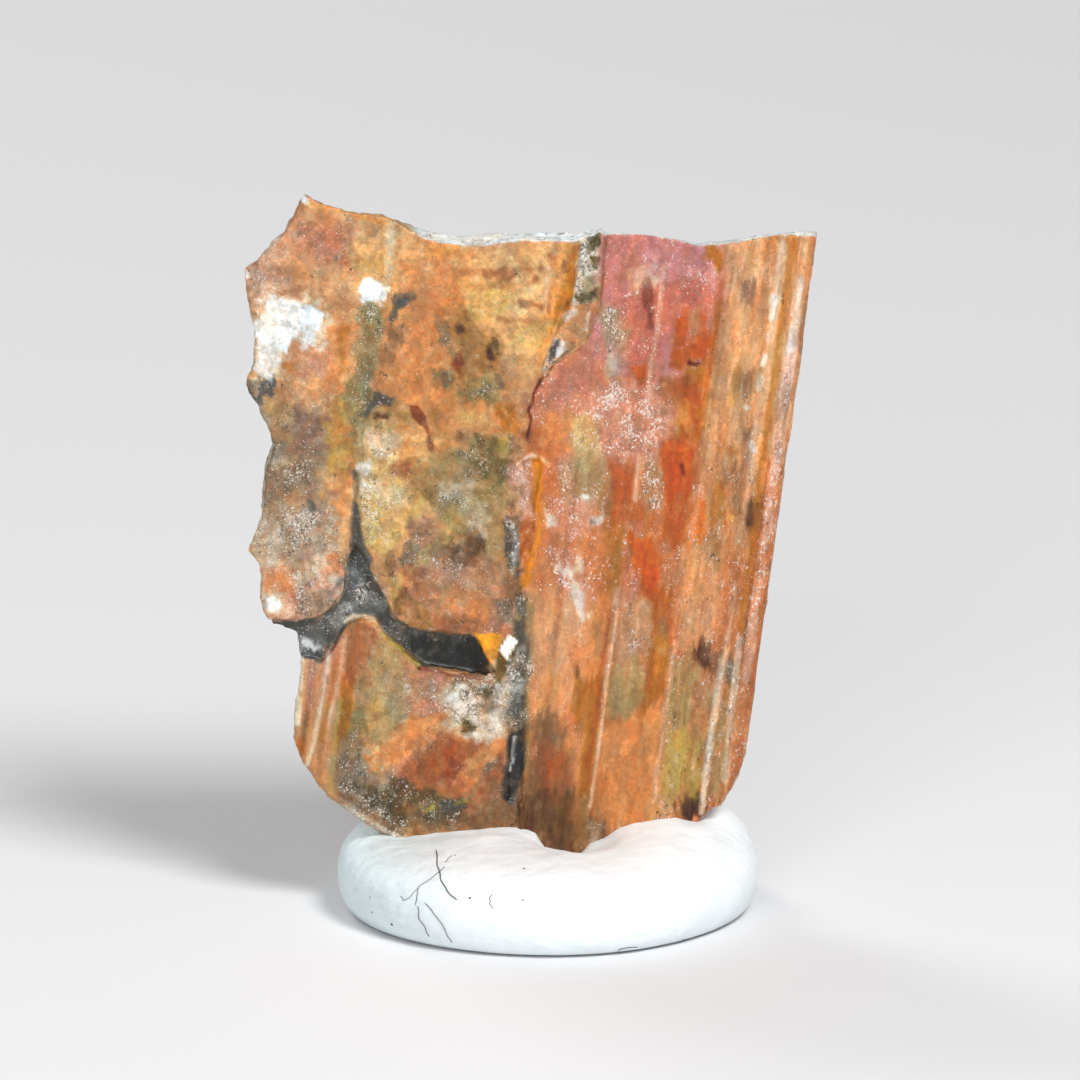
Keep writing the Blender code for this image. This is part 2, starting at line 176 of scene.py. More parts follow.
def put_colour(mesh, name, colours):
    layer = mesh.attributes.new(name, "FLOAT_COLOR", "POINT")
    full = np.ones((len(colours), 4), np.float32)
    full[:, :3] = colours
    layer.data.foreach_set("color", full.ravel())


def put_value(mesh, name, values):
    layer = mesh.attributes.new(name, "FLOAT", "POINT")
    layer.data.foreach_set("value", values.astype(np.float32))


def keep_inside(points, node):
    """World points in metres, held within the CAD node's own box."""
    low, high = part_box(node)
    margin = BOX_MARGIN * MM
    return np.clip(points, np.array(low) + margin, np.array(high) - margin)


def linear(colour):
    """An everyday 0-255 colour as the shader's linear values."""
    value = np.asarray(colour, float) / 255
    return np.where(value <= 0.04045, value / 12.92, ((value + 0.055) / 1.055) ** 2.4)


def body_colour(colour):
    """The stone's own linear colour, without the white light that its polish sends back."""
    return np.clip(linear(colour) / LIGHT - SHINE, DARKEST, 1.0)


# ------------------------------------------------------------------------------------------------------------
# The crystal's marks
# ------------------------------------------------------------------------------------------------------------

# Name: red, green, blue, how thickly white flecks lie in it, how thickly dark pits do.
COLOURS = {
    "tan": (203, 146, 102, 0.25, 0.25), "light tan": (222, 165, 120, 0.18, 0.15),
    "peach": (218, 167, 135, 0.4, 0.2), "orange": (219, 146, 92, 0.15, 0.12),
    "light orange": (228, 172, 118, 0.15, 0.1), "yellow orange": (231, 180, 126, 0.12, 0.08),
    "amber": (229, 156, 90, 0.1, 0.08), "deep amber": (202, 112, 48, 0.05, 0.1),
    # The glow at the start of this line is painted light: light that comes through the thin edge of a plate.
    "glow": (222, 140, 58, 0.02, 0.02), "ochre": (194, 122, 52, 0.08, 0.1),
    "gold": (208, 172, 114, 0.75, 0.5), "olive": (153, 131, 89, 0.35, 0.4),
    "olive brown": (178, 126, 76, 0.2, 0.35), "olive tan": (186, 150, 104, 0.25, 0.3),
    "olive yellow": (180, 155, 84, 0.15, 0.15), "brown": (158, 113, 79, 0.2, 0.45),
    "red brown": (180, 112, 74, 0.15, 0.2), "dark red": (118, 54, 34, 0.0, 0.1),
    "dark brown": (116, 80, 57, 0.1, 0.4), "purple brown": (156, 116, 98, 0.35, 0.35),
    "grey brown": (168, 144, 120, 0.6, 0.5), "grey": (182, 152, 130, 0.5, 0.4),
    "rose": (203, 132, 121, 0.45, 0.12), "pale rose": (217, 150, 139, 0.65, 0.1),
    "rose brown": (200, 132, 108, 0.5, 0.25), "crimson": (208, 123, 99, 0.5, 0.12),
    "red orange": (202, 108, 60, 0.12, 0.12), "vivid": (222, 108, 40, 0.12, 0.06),
    "smooth red": (205, 113, 68, 0.05, 0.05), "pink": (216, 164, 142, 0.8, 0.3),
    "pink orange": (208, 131, 86, 0.55, 0.14), "white": (240, 241, 242, 0.1, 0.05),
    "frost": (226, 222, 217, 0.8, 0.3), "cream": (222, 206, 180, 0.6, 0.3),
    "pale": (214, 192, 170, 0.75, 0.35), "crust": (205, 195, 180, 0.9, 0.9),
    "ridge": (230, 183, 151, 0.5, 0.05), "charcoal": (95, 95, 92, 0.3, 0.5), "black": (70, 71, 72, 0.16, 0.2),
    "slate": (108, 109, 107, 0.5, 0.5), "ash": (172, 170, 165, 0.85, 0.85),
    # The bright orange at the end of this line and the bright white on the next are painted light: a
    # reflection inside the stone, and highlights.
    "umber": (112, 94, 66, 0.55, 0.55), "lit orange": (270, 172, 62, 0.0, 0.0),
    "lit white": (255, 255, 252, 0.0, 0.0), "yellow": (224, 186, 84, 0.1, 0.1),
    "bottom orange": (218, 142, 88, 0.1, 0.12), "moss": (98, 86, 50, 0.35, 0.5),
    "honey": (212, 128, 30, 0.02, 0.02), "salmon": (217, 142, 90, 0.2, 0.12),
    "dusk": (136, 118, 100, 0.6, 0.5), "straw": (214, 170, 104, 0.2, 0.15),
    "lichen": (156, 138, 98, 0.62, 0.5), "rust": (156, 84, 60, 0.1, 0.1),
    "speckled": (209, 142, 114, 0.78, 0.2), "gritty": (178, 146, 112, 0.85, 0.75),
    "yellow ochre": (196, 150, 86, 0.15, 0.15),
}

# The outline of the dark recess.
RECESS_OUTLINE = (
    (268, 622), (320, 618), (335, 606), (345, 590), (350, 552), (362, 556), (373, 576), (386, 601),
    (393, 617), (421, 630), (468, 636), (480, 640), (494, 678), (465, 672), (420, 665), (395, 640),
    (376, 617), (352, 617), (336, 645), (322, 661), (294, 658), (294, 634), (268, 632),
)

# Areas, in the order of painting: colour, strength, softness and raggedness in pixels, outline.
AREAS = (
    # The plate at the upper left.
    ("tan", 1.0, 3, 0, ((230, 180), (604, 180), (604, 300), (540, 378), (526, 440), (512, 860), (230, 860))),
    ("rose brown", 0.6, 12, 5, ((290, 218), (352, 224), (345, 262), (292, 262))),
    ("peach", 0.9, 12, 5, ((246, 238), (292, 226), (304, 262), (300, 300), (246, 300))),
    ("purple brown", 0.45, 7, 4, ((246, 268), (300, 272), (298, 292), (248, 288))),
    ("light orange", 0.9, 14, 6, ((348, 222), (432, 244), (436, 285), (400, 330), (352, 285))),
    ("light tan", 0.7, 14, 6, ((300, 262), (352, 262), (350, 320), (320, 320))),
    ("orange", 0.9, 14, 6, ((376, 312), (440, 262), (486, 262), (480, 300), (450, 330), (445, 410),
        (380, 410))),
    ("yellow orange", 1.0, 12, 6, ((462, 246), (552, 244), (552, 340), (520, 352), (494, 335), (470, 300))),
    ("amber", 0.9, 8, 4, ((426, 240), (472, 246), (470, 262), (430, 264))),
    ("light orange", 0.9, 10, 5, ((480, 316), (552, 318), (545, 360), (532, 385), (512, 372))),
    ("olive brown", 0.9, 9, 6, ((456, 306), (480, 330), (502, 360), (505, 400), (470, 412), (448, 402),
        (446, 330))),
    ("olive tan", 0.9, 8, 5, ((470, 365), (502, 362), (514, 412), (480, 420), (466, 395))),
    ("tan", 0.8, 8, 4, ((504, 372), (535, 378), (525, 440), (506, 440))),
    ("orange", 0.8, 10, 5, ((448, 400), (508, 408), (512, 436), (450, 440))),
    ("light tan", 0.9, 9, 5, ((318, 322), (362, 318), (356, 402), (320, 410), (292, 392), (300, 358))),
    ("frost", 1.0, 5, 6, ((262, 300), (300, 298), (324, 320), (322, 346), (288, 350), (284, 336), (258, 344),
        (254, 322))),
    ("cream", 0.9, 5, 5, ((254, 338), (284, 344), (292, 366), (272, 382), (252, 376))),
    ("ochre", 0.6, 4, 3, ((280, 358), (300, 358), (298, 374), (282, 374))),
    ("charcoal", 0.95, 4, 4, ((240, 374), (272, 378), (276, 396), (262, 410), (244, 404))),
    ("olive", 0.9, 6, 5, ((343, 376), (374, 372), (378, 430), (366, 452), (354, 420), (342, 400))),
    ("olive tan", 0.9, 6, 5, ((366, 404), (406, 402), (402, 436), (370, 440))),
    ("ochre", 0.5, 9, 4, ((382, 408), (446, 408), (450, 462), (400, 462))),
    ("light orange", 0.75, 9, 4, ((384, 424), (424, 414), (448, 440), (444, 468), (392, 466))),
    ("charcoal", 0.95, 2, 1, ((364, 399), (378, 394), (397, 398), (390, 407), (378, 405), (369, 417),
        (362, 426), (358, 421), (366, 406))),
    ("dark brown", 0.95, 2, 1, ((374, 414), (390, 414), (388, 420), (375, 420))),
    ("charcoal", 0.95, 2, 2, ((396, 293), (414, 292), (411, 306), (399, 311), (390, 326), (385, 320),
        (392, 306))),
    ("white", 1.0, 3, 3, ((361, 288), (372, 282), (388, 286), (386, 302), (370, 303))),
    ("grey brown", 0.9, 12, 6, ((256, 410), (330, 404), (336, 440), (322, 520), (250, 520))),
    ("purple brown", 0.8, 8, 6, ((296, 416), (326, 418), (318, 462), (292, 456))),
    ("cream", 0.85, 4, 4, ((262, 454), (302, 454), (300, 466), (264, 470))),
    ("purple brown", 0.7, 6, 5, ((262, 470), (318, 462), (316, 510), (296, 500), (264, 490))),
    ("pale", 0.9, 9, 7, ((244, 520), (322, 505), (348, 540), (344, 620), (262, 630))),
    ("light tan", 0.7, 6, 5, ((246, 545), (266, 540), (262, 600), (250, 575))),
    ("pink orange", 0.7, 6, 5, ((268, 566), (296, 570), (292, 594), (270, 592))),
    ("pink orange", 0.7, 6, 5, ((326, 545), (346, 545), (340, 575), (328, 572))),
    ("rose brown", 0.55, 9, 6, ((284, 590), (342, 570), (338, 622), (290, 640), (262, 626))),
    # A painted highlight on a bump of the plate.
    ("white", 1.0, 3, 1, ((265, 597), (274, 593), (282, 600), (277, 613), (267, 610))),
    ("ochre", 0.55, 8, 5, ((328, 404), (356, 424), (356, 462), (332, 462))),
    ("light orange", 0.75, 8, 5, ((318, 476), (356, 476), (354, 545), (340, 545), (330, 512), (314, 500))),
    ("brown", 0.7, 4, 4, ((335, 460), (352, 460), (350, 478), (336, 478))),
    ("gold", 0.95, 7, 5, ((366, 428), (404, 430), (404, 500), (384, 548), (362, 548), (362, 470))),
    ("pale", 0.7, 6, 5, ((368, 432), (404, 430), (392, 456), (372, 458))),
    ("pale", 0.5, 6, 5, ((374, 484), (412, 486), (404, 508), (376, 508))),
    ("frost", 0.9, 3, 3, ((357, 462), (366, 460), (369, 496), (358, 502))),
    ("charcoal", 0.95, 2, 0.8, ((353, 470), (358, 470), (359, 500), (362, 530), (372, 562), (350, 562),
        (352, 520))),
    ("olive tan", 0.9, 10, 7, ((412, 464), (512, 424), (514, 560), (470, 575), (410, 500))),
    ("grey brown", 0.85, 6, 6, ((436, 486), (470, 484), (478, 500), (462, 512), (436, 500))),
    ("grey brown", 0.6, 6, 6, ((455, 450), (500, 446), (500, 478), (456, 480))),
    ("olive yellow", 0.5, 6, 6, ((448, 502), (480, 500), (478, 516), (450, 520))),
    ("pale", 0.6, 5, 5, ((462, 514), (482, 512), (480, 532), (464, 532))),
    ("brown", 0.7, 6, 6, ((440, 536), (484, 534), (486, 566), (450, 575), (438, 556))),
    ("grey brown", 0.55, 4, 4, ((458, 540), (480, 540), (474, 560), (460, 562))),
    ("light orange", 0.7, 7, 5, ((372, 548), (420, 506), (440, 512), (412, 560), (396, 586), (384, 580))),
    ("purple brown", 0.7, 5, 5, ((404, 570), (412, 530), (424, 510), (432, 520), (420, 560), (412, 576))),
    ("tan", 0.6, 6, 5, ((424, 560), (446, 530), (452, 545), (430, 580), (408, 590))),
    ("rose brown", 0.75, 9, 6, ((396, 590), (450, 562), (516, 566), (512, 640), (420, 632))),
    ("orange", 0.7, 7, 5, ((422, 584), (446, 578), (448, 606), (428, 612))),
    ("pink orange", 0.85, 6, 5, ((452, 592), (484, 592), (484, 626), (462, 618), (450, 606))),
    ("brown", 0.6, 6, 5, ((444, 608), (476, 612), (478, 634), (446, 632))),
    ("olive brown", 0.8, 5, 4, ((408, 596), (426, 600), (424, 628), (410, 626))),
    ("olive yellow", 0.6, 4, 3, ((384, 566), (400, 588), (408, 618), (396, 606), (384, 584))),
    ("purple brown", 0.7, 4, 4, ((384, 560), (400, 556), (396, 584), (386, 578))),
    ("rust", 0.8, 2, 0.6, ((460, 352), (466, 362), (464, 379), (450, 366))),
    ("yellow", 1.0, 1.5, 1, ((500, 440), (509, 439), (508, 452), (500, 452))),
    ("purple brown", 0.85, 5, 4, ((509, 432), (521, 436), (522, 470), (514, 512), (507, 500))),
    ("charcoal", 0.95, 2, 1, ((507, 516), (519, 514), (521, 545), (519, 580), (509, 574), (504, 545))),
    ("brown", 0.8, 5, 4, ((500, 580), (520, 576), (532, 588), (520, 604), (504, 600))),
    ("charcoal", 0.7, 4, 4, ((500, 602), (512, 600), (514, 622), (502, 622))),
    ("crust", 0.7, 5, 5, ((516, 600), (534, 590), (534, 640), (520, 646), (514, 625))),
    # The amber edge of that plate, the trench and the chip beside it. The edge's amber is partly its own
    # colour and partly a painted glow of light through the thin edge.
    ("amber", 1.0, 3, 2, ((556, 243), (579, 244), (577, 285), (573, 302), (563, 322), (552, 340), (540, 372),
        (536, 350))),
    ("deep amber", 0.85, 2.5, 1, ((572, 246), (579, 246), (577, 282), (572, 302), (563, 320), (566, 290))),
    ("red brown", 0.85, 3, 2, ((556, 260), (571, 260), (569, 276), (557, 276))),
    ("crust", 1.0, 1.5, 1, ((579, 232), (603, 232), (600, 305), (572, 308), (576, 282))),
    ("olive", 0.8, 3, 3, ((587, 231), (602, 231), (601, 243), (590, 243))),
    ("olive", 0.75, 3, 3, ((582, 276), (600, 278), (598, 305), (582, 305))),
    ("orange", 1.0, 1.5, 1, ((573, 305), (598, 303), (590, 320), (588, 338), (582, 344), (567, 350),
        (560, 325))),
    ("crust", 0.9, 2, 2, ((551, 340), (560, 336), (566, 353), (553, 364), (545, 376), (541, 372))),
    # The plate at the right.
    ("pink orange", 1.0, 2, 0, ((604, 180), (860, 180), (860, 900), (520, 900), (526, 440), (533, 392),
        (553, 364), (588, 340), (603, 300))),
    ("rose", 1.0, 9, 4, ((600, 220), (732, 220), (722, 300), (706, 360), (640, 400), (586, 345), (600, 300))),
    ("pale rose", 0.9, 9, 6, ((655, 238), (706, 246), (722, 276), (660, 282), (632, 262))),
    ("ochre", 0.9, 3, 2, ((706, 245), (719, 245), (718, 262), (709, 258))),
    ("light tan", 0.95, 5, 2, ((728, 230), (830, 230), (800, 460), (700, 460), (716, 340), (724, 290))),
    ("crimson", 0.9, 9, 6, ((662, 282), (720, 278), (714, 320), (704, 355), (664, 345))),
    ("cream", 0.8, 6, 5, ((630, 264), (658, 266), (656, 286), (634, 292))),
    ("crimson", 0.8, 9, 6, ((622, 296), (658, 292), (652, 400), (625, 400))),
    ("gritty", 0.85, 6, 5, ((602, 300), (626, 306), (628, 350), (622, 384), (606, 378), (598, 345))),
    ("cream", 0.5, 4, 3, ((602, 356), (614, 358), (612, 376), (603, 374))),
    ("rose brown", 0.85, 9, 5, ((548, 372), (600, 342), (606, 400), (560, 420), (528, 425), (532, 395))),
    ("red orange", 0.9, 6, 4, ((632, 362), (650, 362), (652, 386), (634, 384))),
    ("red orange", 0.85, 5, 3, ((674, 318), (686, 318), (684, 362), (668, 360))),
    ("vivid", 1.0, 4, 3, ((692, 336), (706, 336), (704, 362), (690, 360))),
    ("red orange", 0.8, 4, 3, ((690, 310), (708, 300), (704, 340), (694, 338))),
    ("ochre", 0.9, 4, 3, ((686, 362), (703, 364), (700, 390), (684, 386))),
    ("red orange", 0.9, 5, 4, ((664, 378), (702, 384), (700, 402), (668, 400))),
    ("rose brown", 0.75, 5, 4, ((655, 362), (684, 362), (684, 382), (656, 384))),
    ("speckled", 0.95, 9, 6, ((552, 400), (640, 384), (684, 400), (668, 462), (606, 466), (556, 470))),
    ("gold", 0.8, 7, 5, ((570, 416), (600, 418), (606, 456), (576, 466))),
    ("red brown", 0.65, 5, 5, ((604, 440), (634, 444), (634, 462), (606, 462))),
    ("red orange", 0.5, 7, 4, ((526, 424), (556, 420), (558, 458), (526, 458))),
    ("red brown", 0.9, 2, 2, ((525, 430), (534, 428), (533, 446), (526, 444))),
    ("red orange", 0.85, 5, 3, ((648, 432), (664, 434), (672, 452), (658, 456))),
    ("ochre", 0.85, 6, 4, ((676, 402), (702, 404), (698, 446), (676, 442))),
    ("red orange", 1.0, 7, 4, ((664, 446), (698, 444), (694, 548), (668, 546), (662, 500))),
    ("vivid", 0.85, 5, 3, ((672, 450), (690, 450), (686, 488), (670, 486))),
    ("gritty", 0.6, 6, 5, ((640, 452), (660, 456), (664, 512), (644, 520))),
    ("smooth red", 1.0, 3, 2, ((608, 464), (634, 460), (634, 506), (612, 506))),
    ("red orange", 0.7, 7, 4, ((606, 504), (660, 506), (656, 530), (606, 528))),
    ("pink", 0.9, 5, 4, ((514, 462), (530, 458), (530, 500), (538, 518), (532, 528), (514, 520))),
    ("smooth red", 0.7, 4, 3, ((520, 522), (538, 524), (532, 560), (520, 566))),
    ("gritty", 0.6, 8, 6, ((558, 462), (602, 462), (600, 506), (562, 506))),
    ("olive brown", 0.6, 5, 4, ((598, 488), (610, 490), (610, 520), (598, 518))),
    ("pink orange", 0.8, 9, 5, ((545, 500), (604, 522), (602, 640), (546, 640))),
    ("speckled", 0.75, 6, 5, ((548, 496), (600, 500), (598, 530), (560, 540))),
    ("speckled", 0.9, 5, 5, ((552, 548), (580, 552), (594, 604), (588, 640), (566, 622), (556, 590))),
    ("ochre", 0.6, 6, 4, ((604, 522), (624, 530), (618, 606), (600, 604))),
    ("olive brown", 0.6, 4, 3, ((610, 552), (624, 552), (620, 604), (608, 600))),
    ("rose brown", 0.7, 6, 4, ((626, 520), (642, 520), (638, 600), (622, 600))),
    ("red orange", 0.9, 5, 3, ((642, 536), (660, 538), (656, 604), (638, 600))),
    ("red orange", 0.8, 4, 3, ((692, 518), (708, 516), (703, 548), (690, 546))),
    ("orange", 1.0, 5, 3, ((586, 600), (616, 596), (606, 680), (594, 740), (580, 740))),
    ("light tan", 0.7, 8, 5, ((528, 588), (586, 594), (580, 718), (524, 720))),
    ("amber", 1.0, 4, 3, ((546, 672), (558, 676), (556, 704), (540, 712), (534, 704))),
    ("ochre", 0.9, 5, 3, ((576, 678), (594, 678), (590, 728), (578, 726))),
    ("tan", 0.7, 7, 4, ((616, 600), (650, 604), (646, 680), (610, 690))),
    ("purple brown", 0.6, 4, 4, ((628, 628), (642, 630), (640, 652), (630, 648))),
    ("deep amber", 0.9, 4, 2, ((654, 590), (672, 590), (664, 660), (656, 705), (644, 705), (650, 640))),
    ("olive brown", 0.8, 7, 5, ((610, 676), (646, 676), (640, 716), (604, 730))),
    ("bottom orange", 1.0, 6, 3, ((600, 732), (640, 712), (662, 712), (652, 826), (588, 826))),
    ("ochre", 0.5, 6, 4, ((640, 700), (664, 700), (656, 776), (640, 776))),
    ("orange", 0.6, 8, 6, ((600, 768), (650, 768), (648, 806), (596, 806))),
    ("orange", 0.85, 5, 3, ((566, 736), (596, 734), (588, 822), (560, 822))),
    ("light tan", 0.6, 8, 3, ((682, 546), (726, 546), (716, 650), (672, 650))),
    ("olive tan", 0.85, 6, 3, ((672, 650), (702, 665), (700, 806), (652, 820), (660, 730))),
    ("tan", 0.7, 6, 3, ((690, 690), (718, 690), (712, 744), (690, 744))),
    ("olive brown", 0.6, 5, 3, ((682, 744), (704, 744), (700, 800), (680, 800))),
    ("dark brown", 0.6, 4, 2, ((692, 650), (702, 645), (720, 650), (724, 662), (718, 672), (704, 668),
        (694, 666))),
    ("brown", 0.95, 3, 3, ((723, 656), (738, 662), (737, 684), (730, 686), (722, 674))),
    ("dark brown", 0.9, 4, 3, ((670, 802), (700, 798), (712, 808), (700, 822), (674, 814))),
    ("olive tan", 0.75, 5, 3, ((708, 688), (732, 686), (722, 800), (704, 800))),
    ("tan", 0.7, 6, 2, ((700, 430), (762, 430), (752, 560), (690, 560))),
    ("ochre", 0.6, 4, 3, ((714, 484), (728, 484), (724, 530), (712, 530))),
    ("olive brown", 0.8, 4, 3, ((710, 534), (723, 534), (720, 574), (708, 570))),
    ("deep amber", 0.6, 3, 3, ((720, 446), (742, 444), (742, 458), (726, 456))),
    ("brown", 0.6, 3, 3, ((726, 472), (738, 462), (744, 472), (732, 478))),
    ("brown", 0.9, 3, 3, ((742, 500), (760, 502), (757, 528), (742, 532))),
    ("purple brown", 0.8, 3, 3, ((742, 436), (756, 434), (752, 470), (744, 466))),
    ("purple brown", 0.75, 3, 3, ((741, 282), (752, 282), (750, 302), (742, 300))),
    ("ochre", 0.55, 4, 3, ((730, 364), (744, 364), (740, 410), (728, 408))),
    ("brown", 0.5, 3, 3, ((744, 374), (753, 374), (750, 402), (742, 400))),
    # The foot of the stone, above the putty.
    ("brown", 0.95, 6, 5, ((526, 716), (560, 716), (568, 760), (564, 826), (520, 826))),
    ("red brown", 0.7, 6, 5, ((540, 752), (572, 752), (570, 806), (540, 800))),
    ("brown", 0.95, 6, 4, ((500, 806), (604, 824), (604, 870), (440, 870))),
    ("olive brown", 0.7, 4, 4, ((558, 812), (592, 814), (590, 834), (560, 834))),
    ("pale", 0.6, 3, 3, ((586, 812), (602, 812), (598, 850), (586, 850))),
    # The plate at the lower left.
    ("tan", 1.0, 3, 1, ((290, 655), (322, 658), (345, 616), (376, 614), (396, 640), (420, 664), (500, 676),
        (522, 700), (520, 850), (380, 850), (290, 780))),
    ("rose brown", 0.6, 6, 4, ((326, 642), (348, 630), (342, 700), (322, 700))),
    ("orange", 0.9, 4, 2, ((346, 620), (374, 618), (368, 652), (356, 694), (340, 706), (345, 660))),
    ("olive tan", 0.9, 8, 6, ((368, 640), (392, 644), (412, 680), (412, 745), (368, 745))),
    ("olive", 0.85, 6, 5, ((344, 700), (366, 680), (370, 780), (340, 790))),
    ("rose brown", 0.8, 6, 5, ((404, 672), (446, 676), (446, 714), (410, 714))),
    ("amber", 1.0, 4, 2, ((411, 716), (441, 716), (436, 732), (420, 746), (406, 752), (404, 736))),
    ("light orange", 0.95, 5, 4, ((368, 752), (404, 744), (412, 752), (390, 774), (368, 772))),
    ("crust", 0.95, 4, 6, ((440, 692), (468, 680), (516, 678), (522, 690), (518, 714), (500, 724), (494, 742),
        (466, 738), (446, 732), (452, 714))),
    ("rose brown", 1.0, 7, 6, ((408, 748), (446, 736), (504, 742), (502, 804), (404, 802), (372, 780))),
    ("orange", 0.6, 6, 5, ((402, 784), (436, 776), (436, 800), (406, 800))),
    ("red brown", 0.6, 6, 6, ((440, 742), (476, 744), (474, 800), (446, 800))),
    ("olive", 0.8, 5, 5, ((480, 758), (502, 756), (500, 788), (482, 786))),
    ("grey brown", 0.9, 7, 6, ((326, 752), (362, 742), (404, 788), (400, 838), (340, 812))),
    ("olive", 0.6, 5, 5, ((400, 792), (440, 796), (440, 826), (402, 828))),
    ("brown", 0.6, 5, 5, ((384, 806), (420, 804), (430, 828), (392, 834))),
    ("charcoal", 0.9, 4, 4, ((440, 802), (466, 800), (464, 818), (442, 822))),
    ("brown", 0.85, 5, 4, ((464, 802), (528, 806), (528, 830), (440, 832), (444, 820))),
    ("yellow", 0.9, 2, 2, ((432, 764), (438, 762), (439, 774), (433, 776))),
    # A painted highlight on the lower left plate.
    ("lit white", 1.0, 1.5, 1, ((434, 779), (442, 778), (442, 785), (435, 786))),
    ("deep amber", 0.85, 3, 2, ((296, 736), (306, 736), (307, 757), (300, 754))),
    # The dark recess and what lies in it.
    ("charcoal", 1.0, 1.5, 1, RECESS_OUTLINE),
    ("slate", 0.9, 4, 4, ((346, 556), (364, 560), (386, 604), (404, 640), (380, 628), (366, 612), (330, 634),
        (300, 632), (326, 612), (344, 592))),
    ("slate", 0.9, 4, 4, ((298, 634), (330, 634), (322, 658), (296, 656))),
    ("ash", 0.6, 4, 3, ((352, 572), (366, 566), (382, 600), (372, 612), (356, 604))),
    ("ash", 0.6, 3, 3, ((330, 612), (348, 604), (350, 618), (334, 630))),
    ("ash", 0.6, 3, 3, ((300, 640), (318, 640), (316, 652), (300, 652))),
    ("ash", 0.35, 4, 4, ((386, 618), (404, 626), (414, 640), (400, 642))),
    ("ash", 0.4, 3, 3, ((420, 640), (434, 640), (432, 656), (420, 656))),
    # Painted shadow: the deepest shade in the recess, under the upper left plate's lower edge.
    ("black", 1.0, 3, 2, ((408, 634), (468, 640), (482, 650), (488, 672), (440, 664), (414, 654))),
    ("deep amber", 0.8, 2, 2, ((490, 656), (504, 650), (502, 682), (490, 680))),
    # Smaller marks of the upper left plate.
    ("rose brown", 0.7, 5, 5, ((318, 222), (352, 226), (350, 262), (318, 258), (306, 242))),
    ("dusk", 0.55, 2, 3, ((336, 250), (348, 248), (347, 258), (338, 258))),
    ("dusk", 0.45, 2, 3, ((302, 230), (310, 228), (309, 240), (303, 240))),
    ("straw", 0.7, 4, 4, ((350, 256), (388, 256), (386, 276), (352, 272))),
    ("salmon", 0.75, 5, 4, ((404, 262), (440, 258), (452, 300), (446, 330), (408, 322))),
    ("salmon", 0.9, 4, 4, ((404, 322), (440, 316), (434, 350), (404, 376), (390, 360))),
    ("brown", 0.7, 3, 4, ((386, 336), (402, 322), (400, 344), (390, 366), (382, 372))),
    ("orange", 0.9, 3, 4, ((392, 376), (440, 360), (440, 396), (412, 402), (384, 392))),
    ("dusk", 0.5, 3, 4, ((438, 322), (452, 334), (448, 346), (436, 344))),
    ("olive brown", 0.8, 4, 4, ((458, 300), (482, 328), (504, 352), (500, 372), (470, 372), (456, 340))),
    ("dark brown", 0.75, 2, 2, ((458, 328), (466, 328), (466, 336), (459, 337))),
    ("moss", 0.6, 2, 3, ((486, 344), (496, 342), (497, 356), (488, 356))),
    ("olive", 0.75, 4, 4, ((464, 382), (496, 380), (494, 402), (466, 402))),
    ("olive", 0.65, 3, 4, ((436, 372), (456, 370), (454, 388), (438, 388))),
    ("dusk", 0.55, 2, 4, ((468, 392), (490, 390), (488, 402), (470, 402))),
    ("dusk", 0.4, 2, 3, ((496, 374), (508, 380), (504, 390), (496, 386))),
    ("straw", 0.85, 3, 4, ((456, 286), (508, 282), (520, 300), (500, 322), (478, 318), (462, 300))),
    ("straw", 0.7, 3, 3, ((506, 318), (548, 322), (540, 350), (520, 348))),
    ("red brown", 0.75, 2, 3, ((482, 270), (516, 268), (518, 278), (500, 282), (484, 278))),
    ("red brown", 0.6, 2, 3, ((534, 262), (544, 258), (546, 280), (538, 284))),
    ("salmon", 0.8, 2, 3, ((550, 262), (560, 260), (560, 300), (552, 322), (548, 312))),
    ("brown", 0.7, 2, 3, ((556, 262), (568, 258), (568, 272), (558, 274))),
    # Partly a painted glow: light coming through the plate's thin edge, over its own amber.
    ("honey", 0.95, 2, 2, ((562, 276), (574, 260), (572, 300), (560, 318), (552, 330), (554, 312))),
    ("tan", 0.7, 3, 3, ((500, 372), (522, 372), (520, 400), (500, 398))),
    ("ochre", 0.8, 3, 3, ((498, 400), (512, 396), (512, 428), (500, 436))),
    ("straw", 0.8, 3, 4, ((462, 408), (484, 404), (484, 424), (462, 422))),
    ("orange", 0.9, 3, 3, ((328, 318), (350, 318), (348, 348), (340, 392), (326, 392))),
    ("ochre", 0.6, 2, 2, ((342, 326), (349, 326), (347, 372), (341, 372))),
    ("olive", 0.8, 3, 4, ((338, 396), (362, 392), (360, 436), (346, 440))),
    ("yellow ochre", 0.9, 3, 3, ((330, 398), (342, 402), (346, 440), (342, 480), (326, 478))),
    ("cream", 0.6, 2, 4, ((300, 300), (322, 304), (330, 320), (330, 350), (322, 352), (320, 330))),
    ("rose brown", 0.5, 3, 4, ((286, 348), (322, 346), (322, 378), (296, 382))),
    ("straw", 0.7, 2, 3, ((264, 398), (296, 400), (296, 408), (266, 410))),
    ("purple brown", 0.8, 4, 5, ((290, 404), (322, 410), (320, 456), (292, 448), (282, 428))),
    ("olive tan", 0.8, 3, 4, ((266, 412), (288, 412), (288, 446), (272, 448))),
    ("straw", 0.7, 2, 4, ((262, 456), (296, 456), (288, 468), (262, 470))),
    ("dusk", 0.6, 4, 5, ((262, 472), (322, 462), (322, 500), (296, 512), (260, 504))),
    ("pale", 0.7, 4, 5, ((274, 512), (300, 506), (302, 548), (276, 550))),
    ("rose brown", 0.6, 3, 4, ((304, 506), (322, 504), (320, 560), (306, 560))),
    ("salmon", 0.6, 2, 3, ((278, 570), (290, 568), (290, 592), (278, 592))),
    ("salmon", 0.7, 3, 3, ((330, 548), (345, 550), (338, 576), (329, 572))),
    ("orange", 0.8, 3, 4, ((316, 484), (352, 482), (350, 512), (338, 526), (322, 506))),
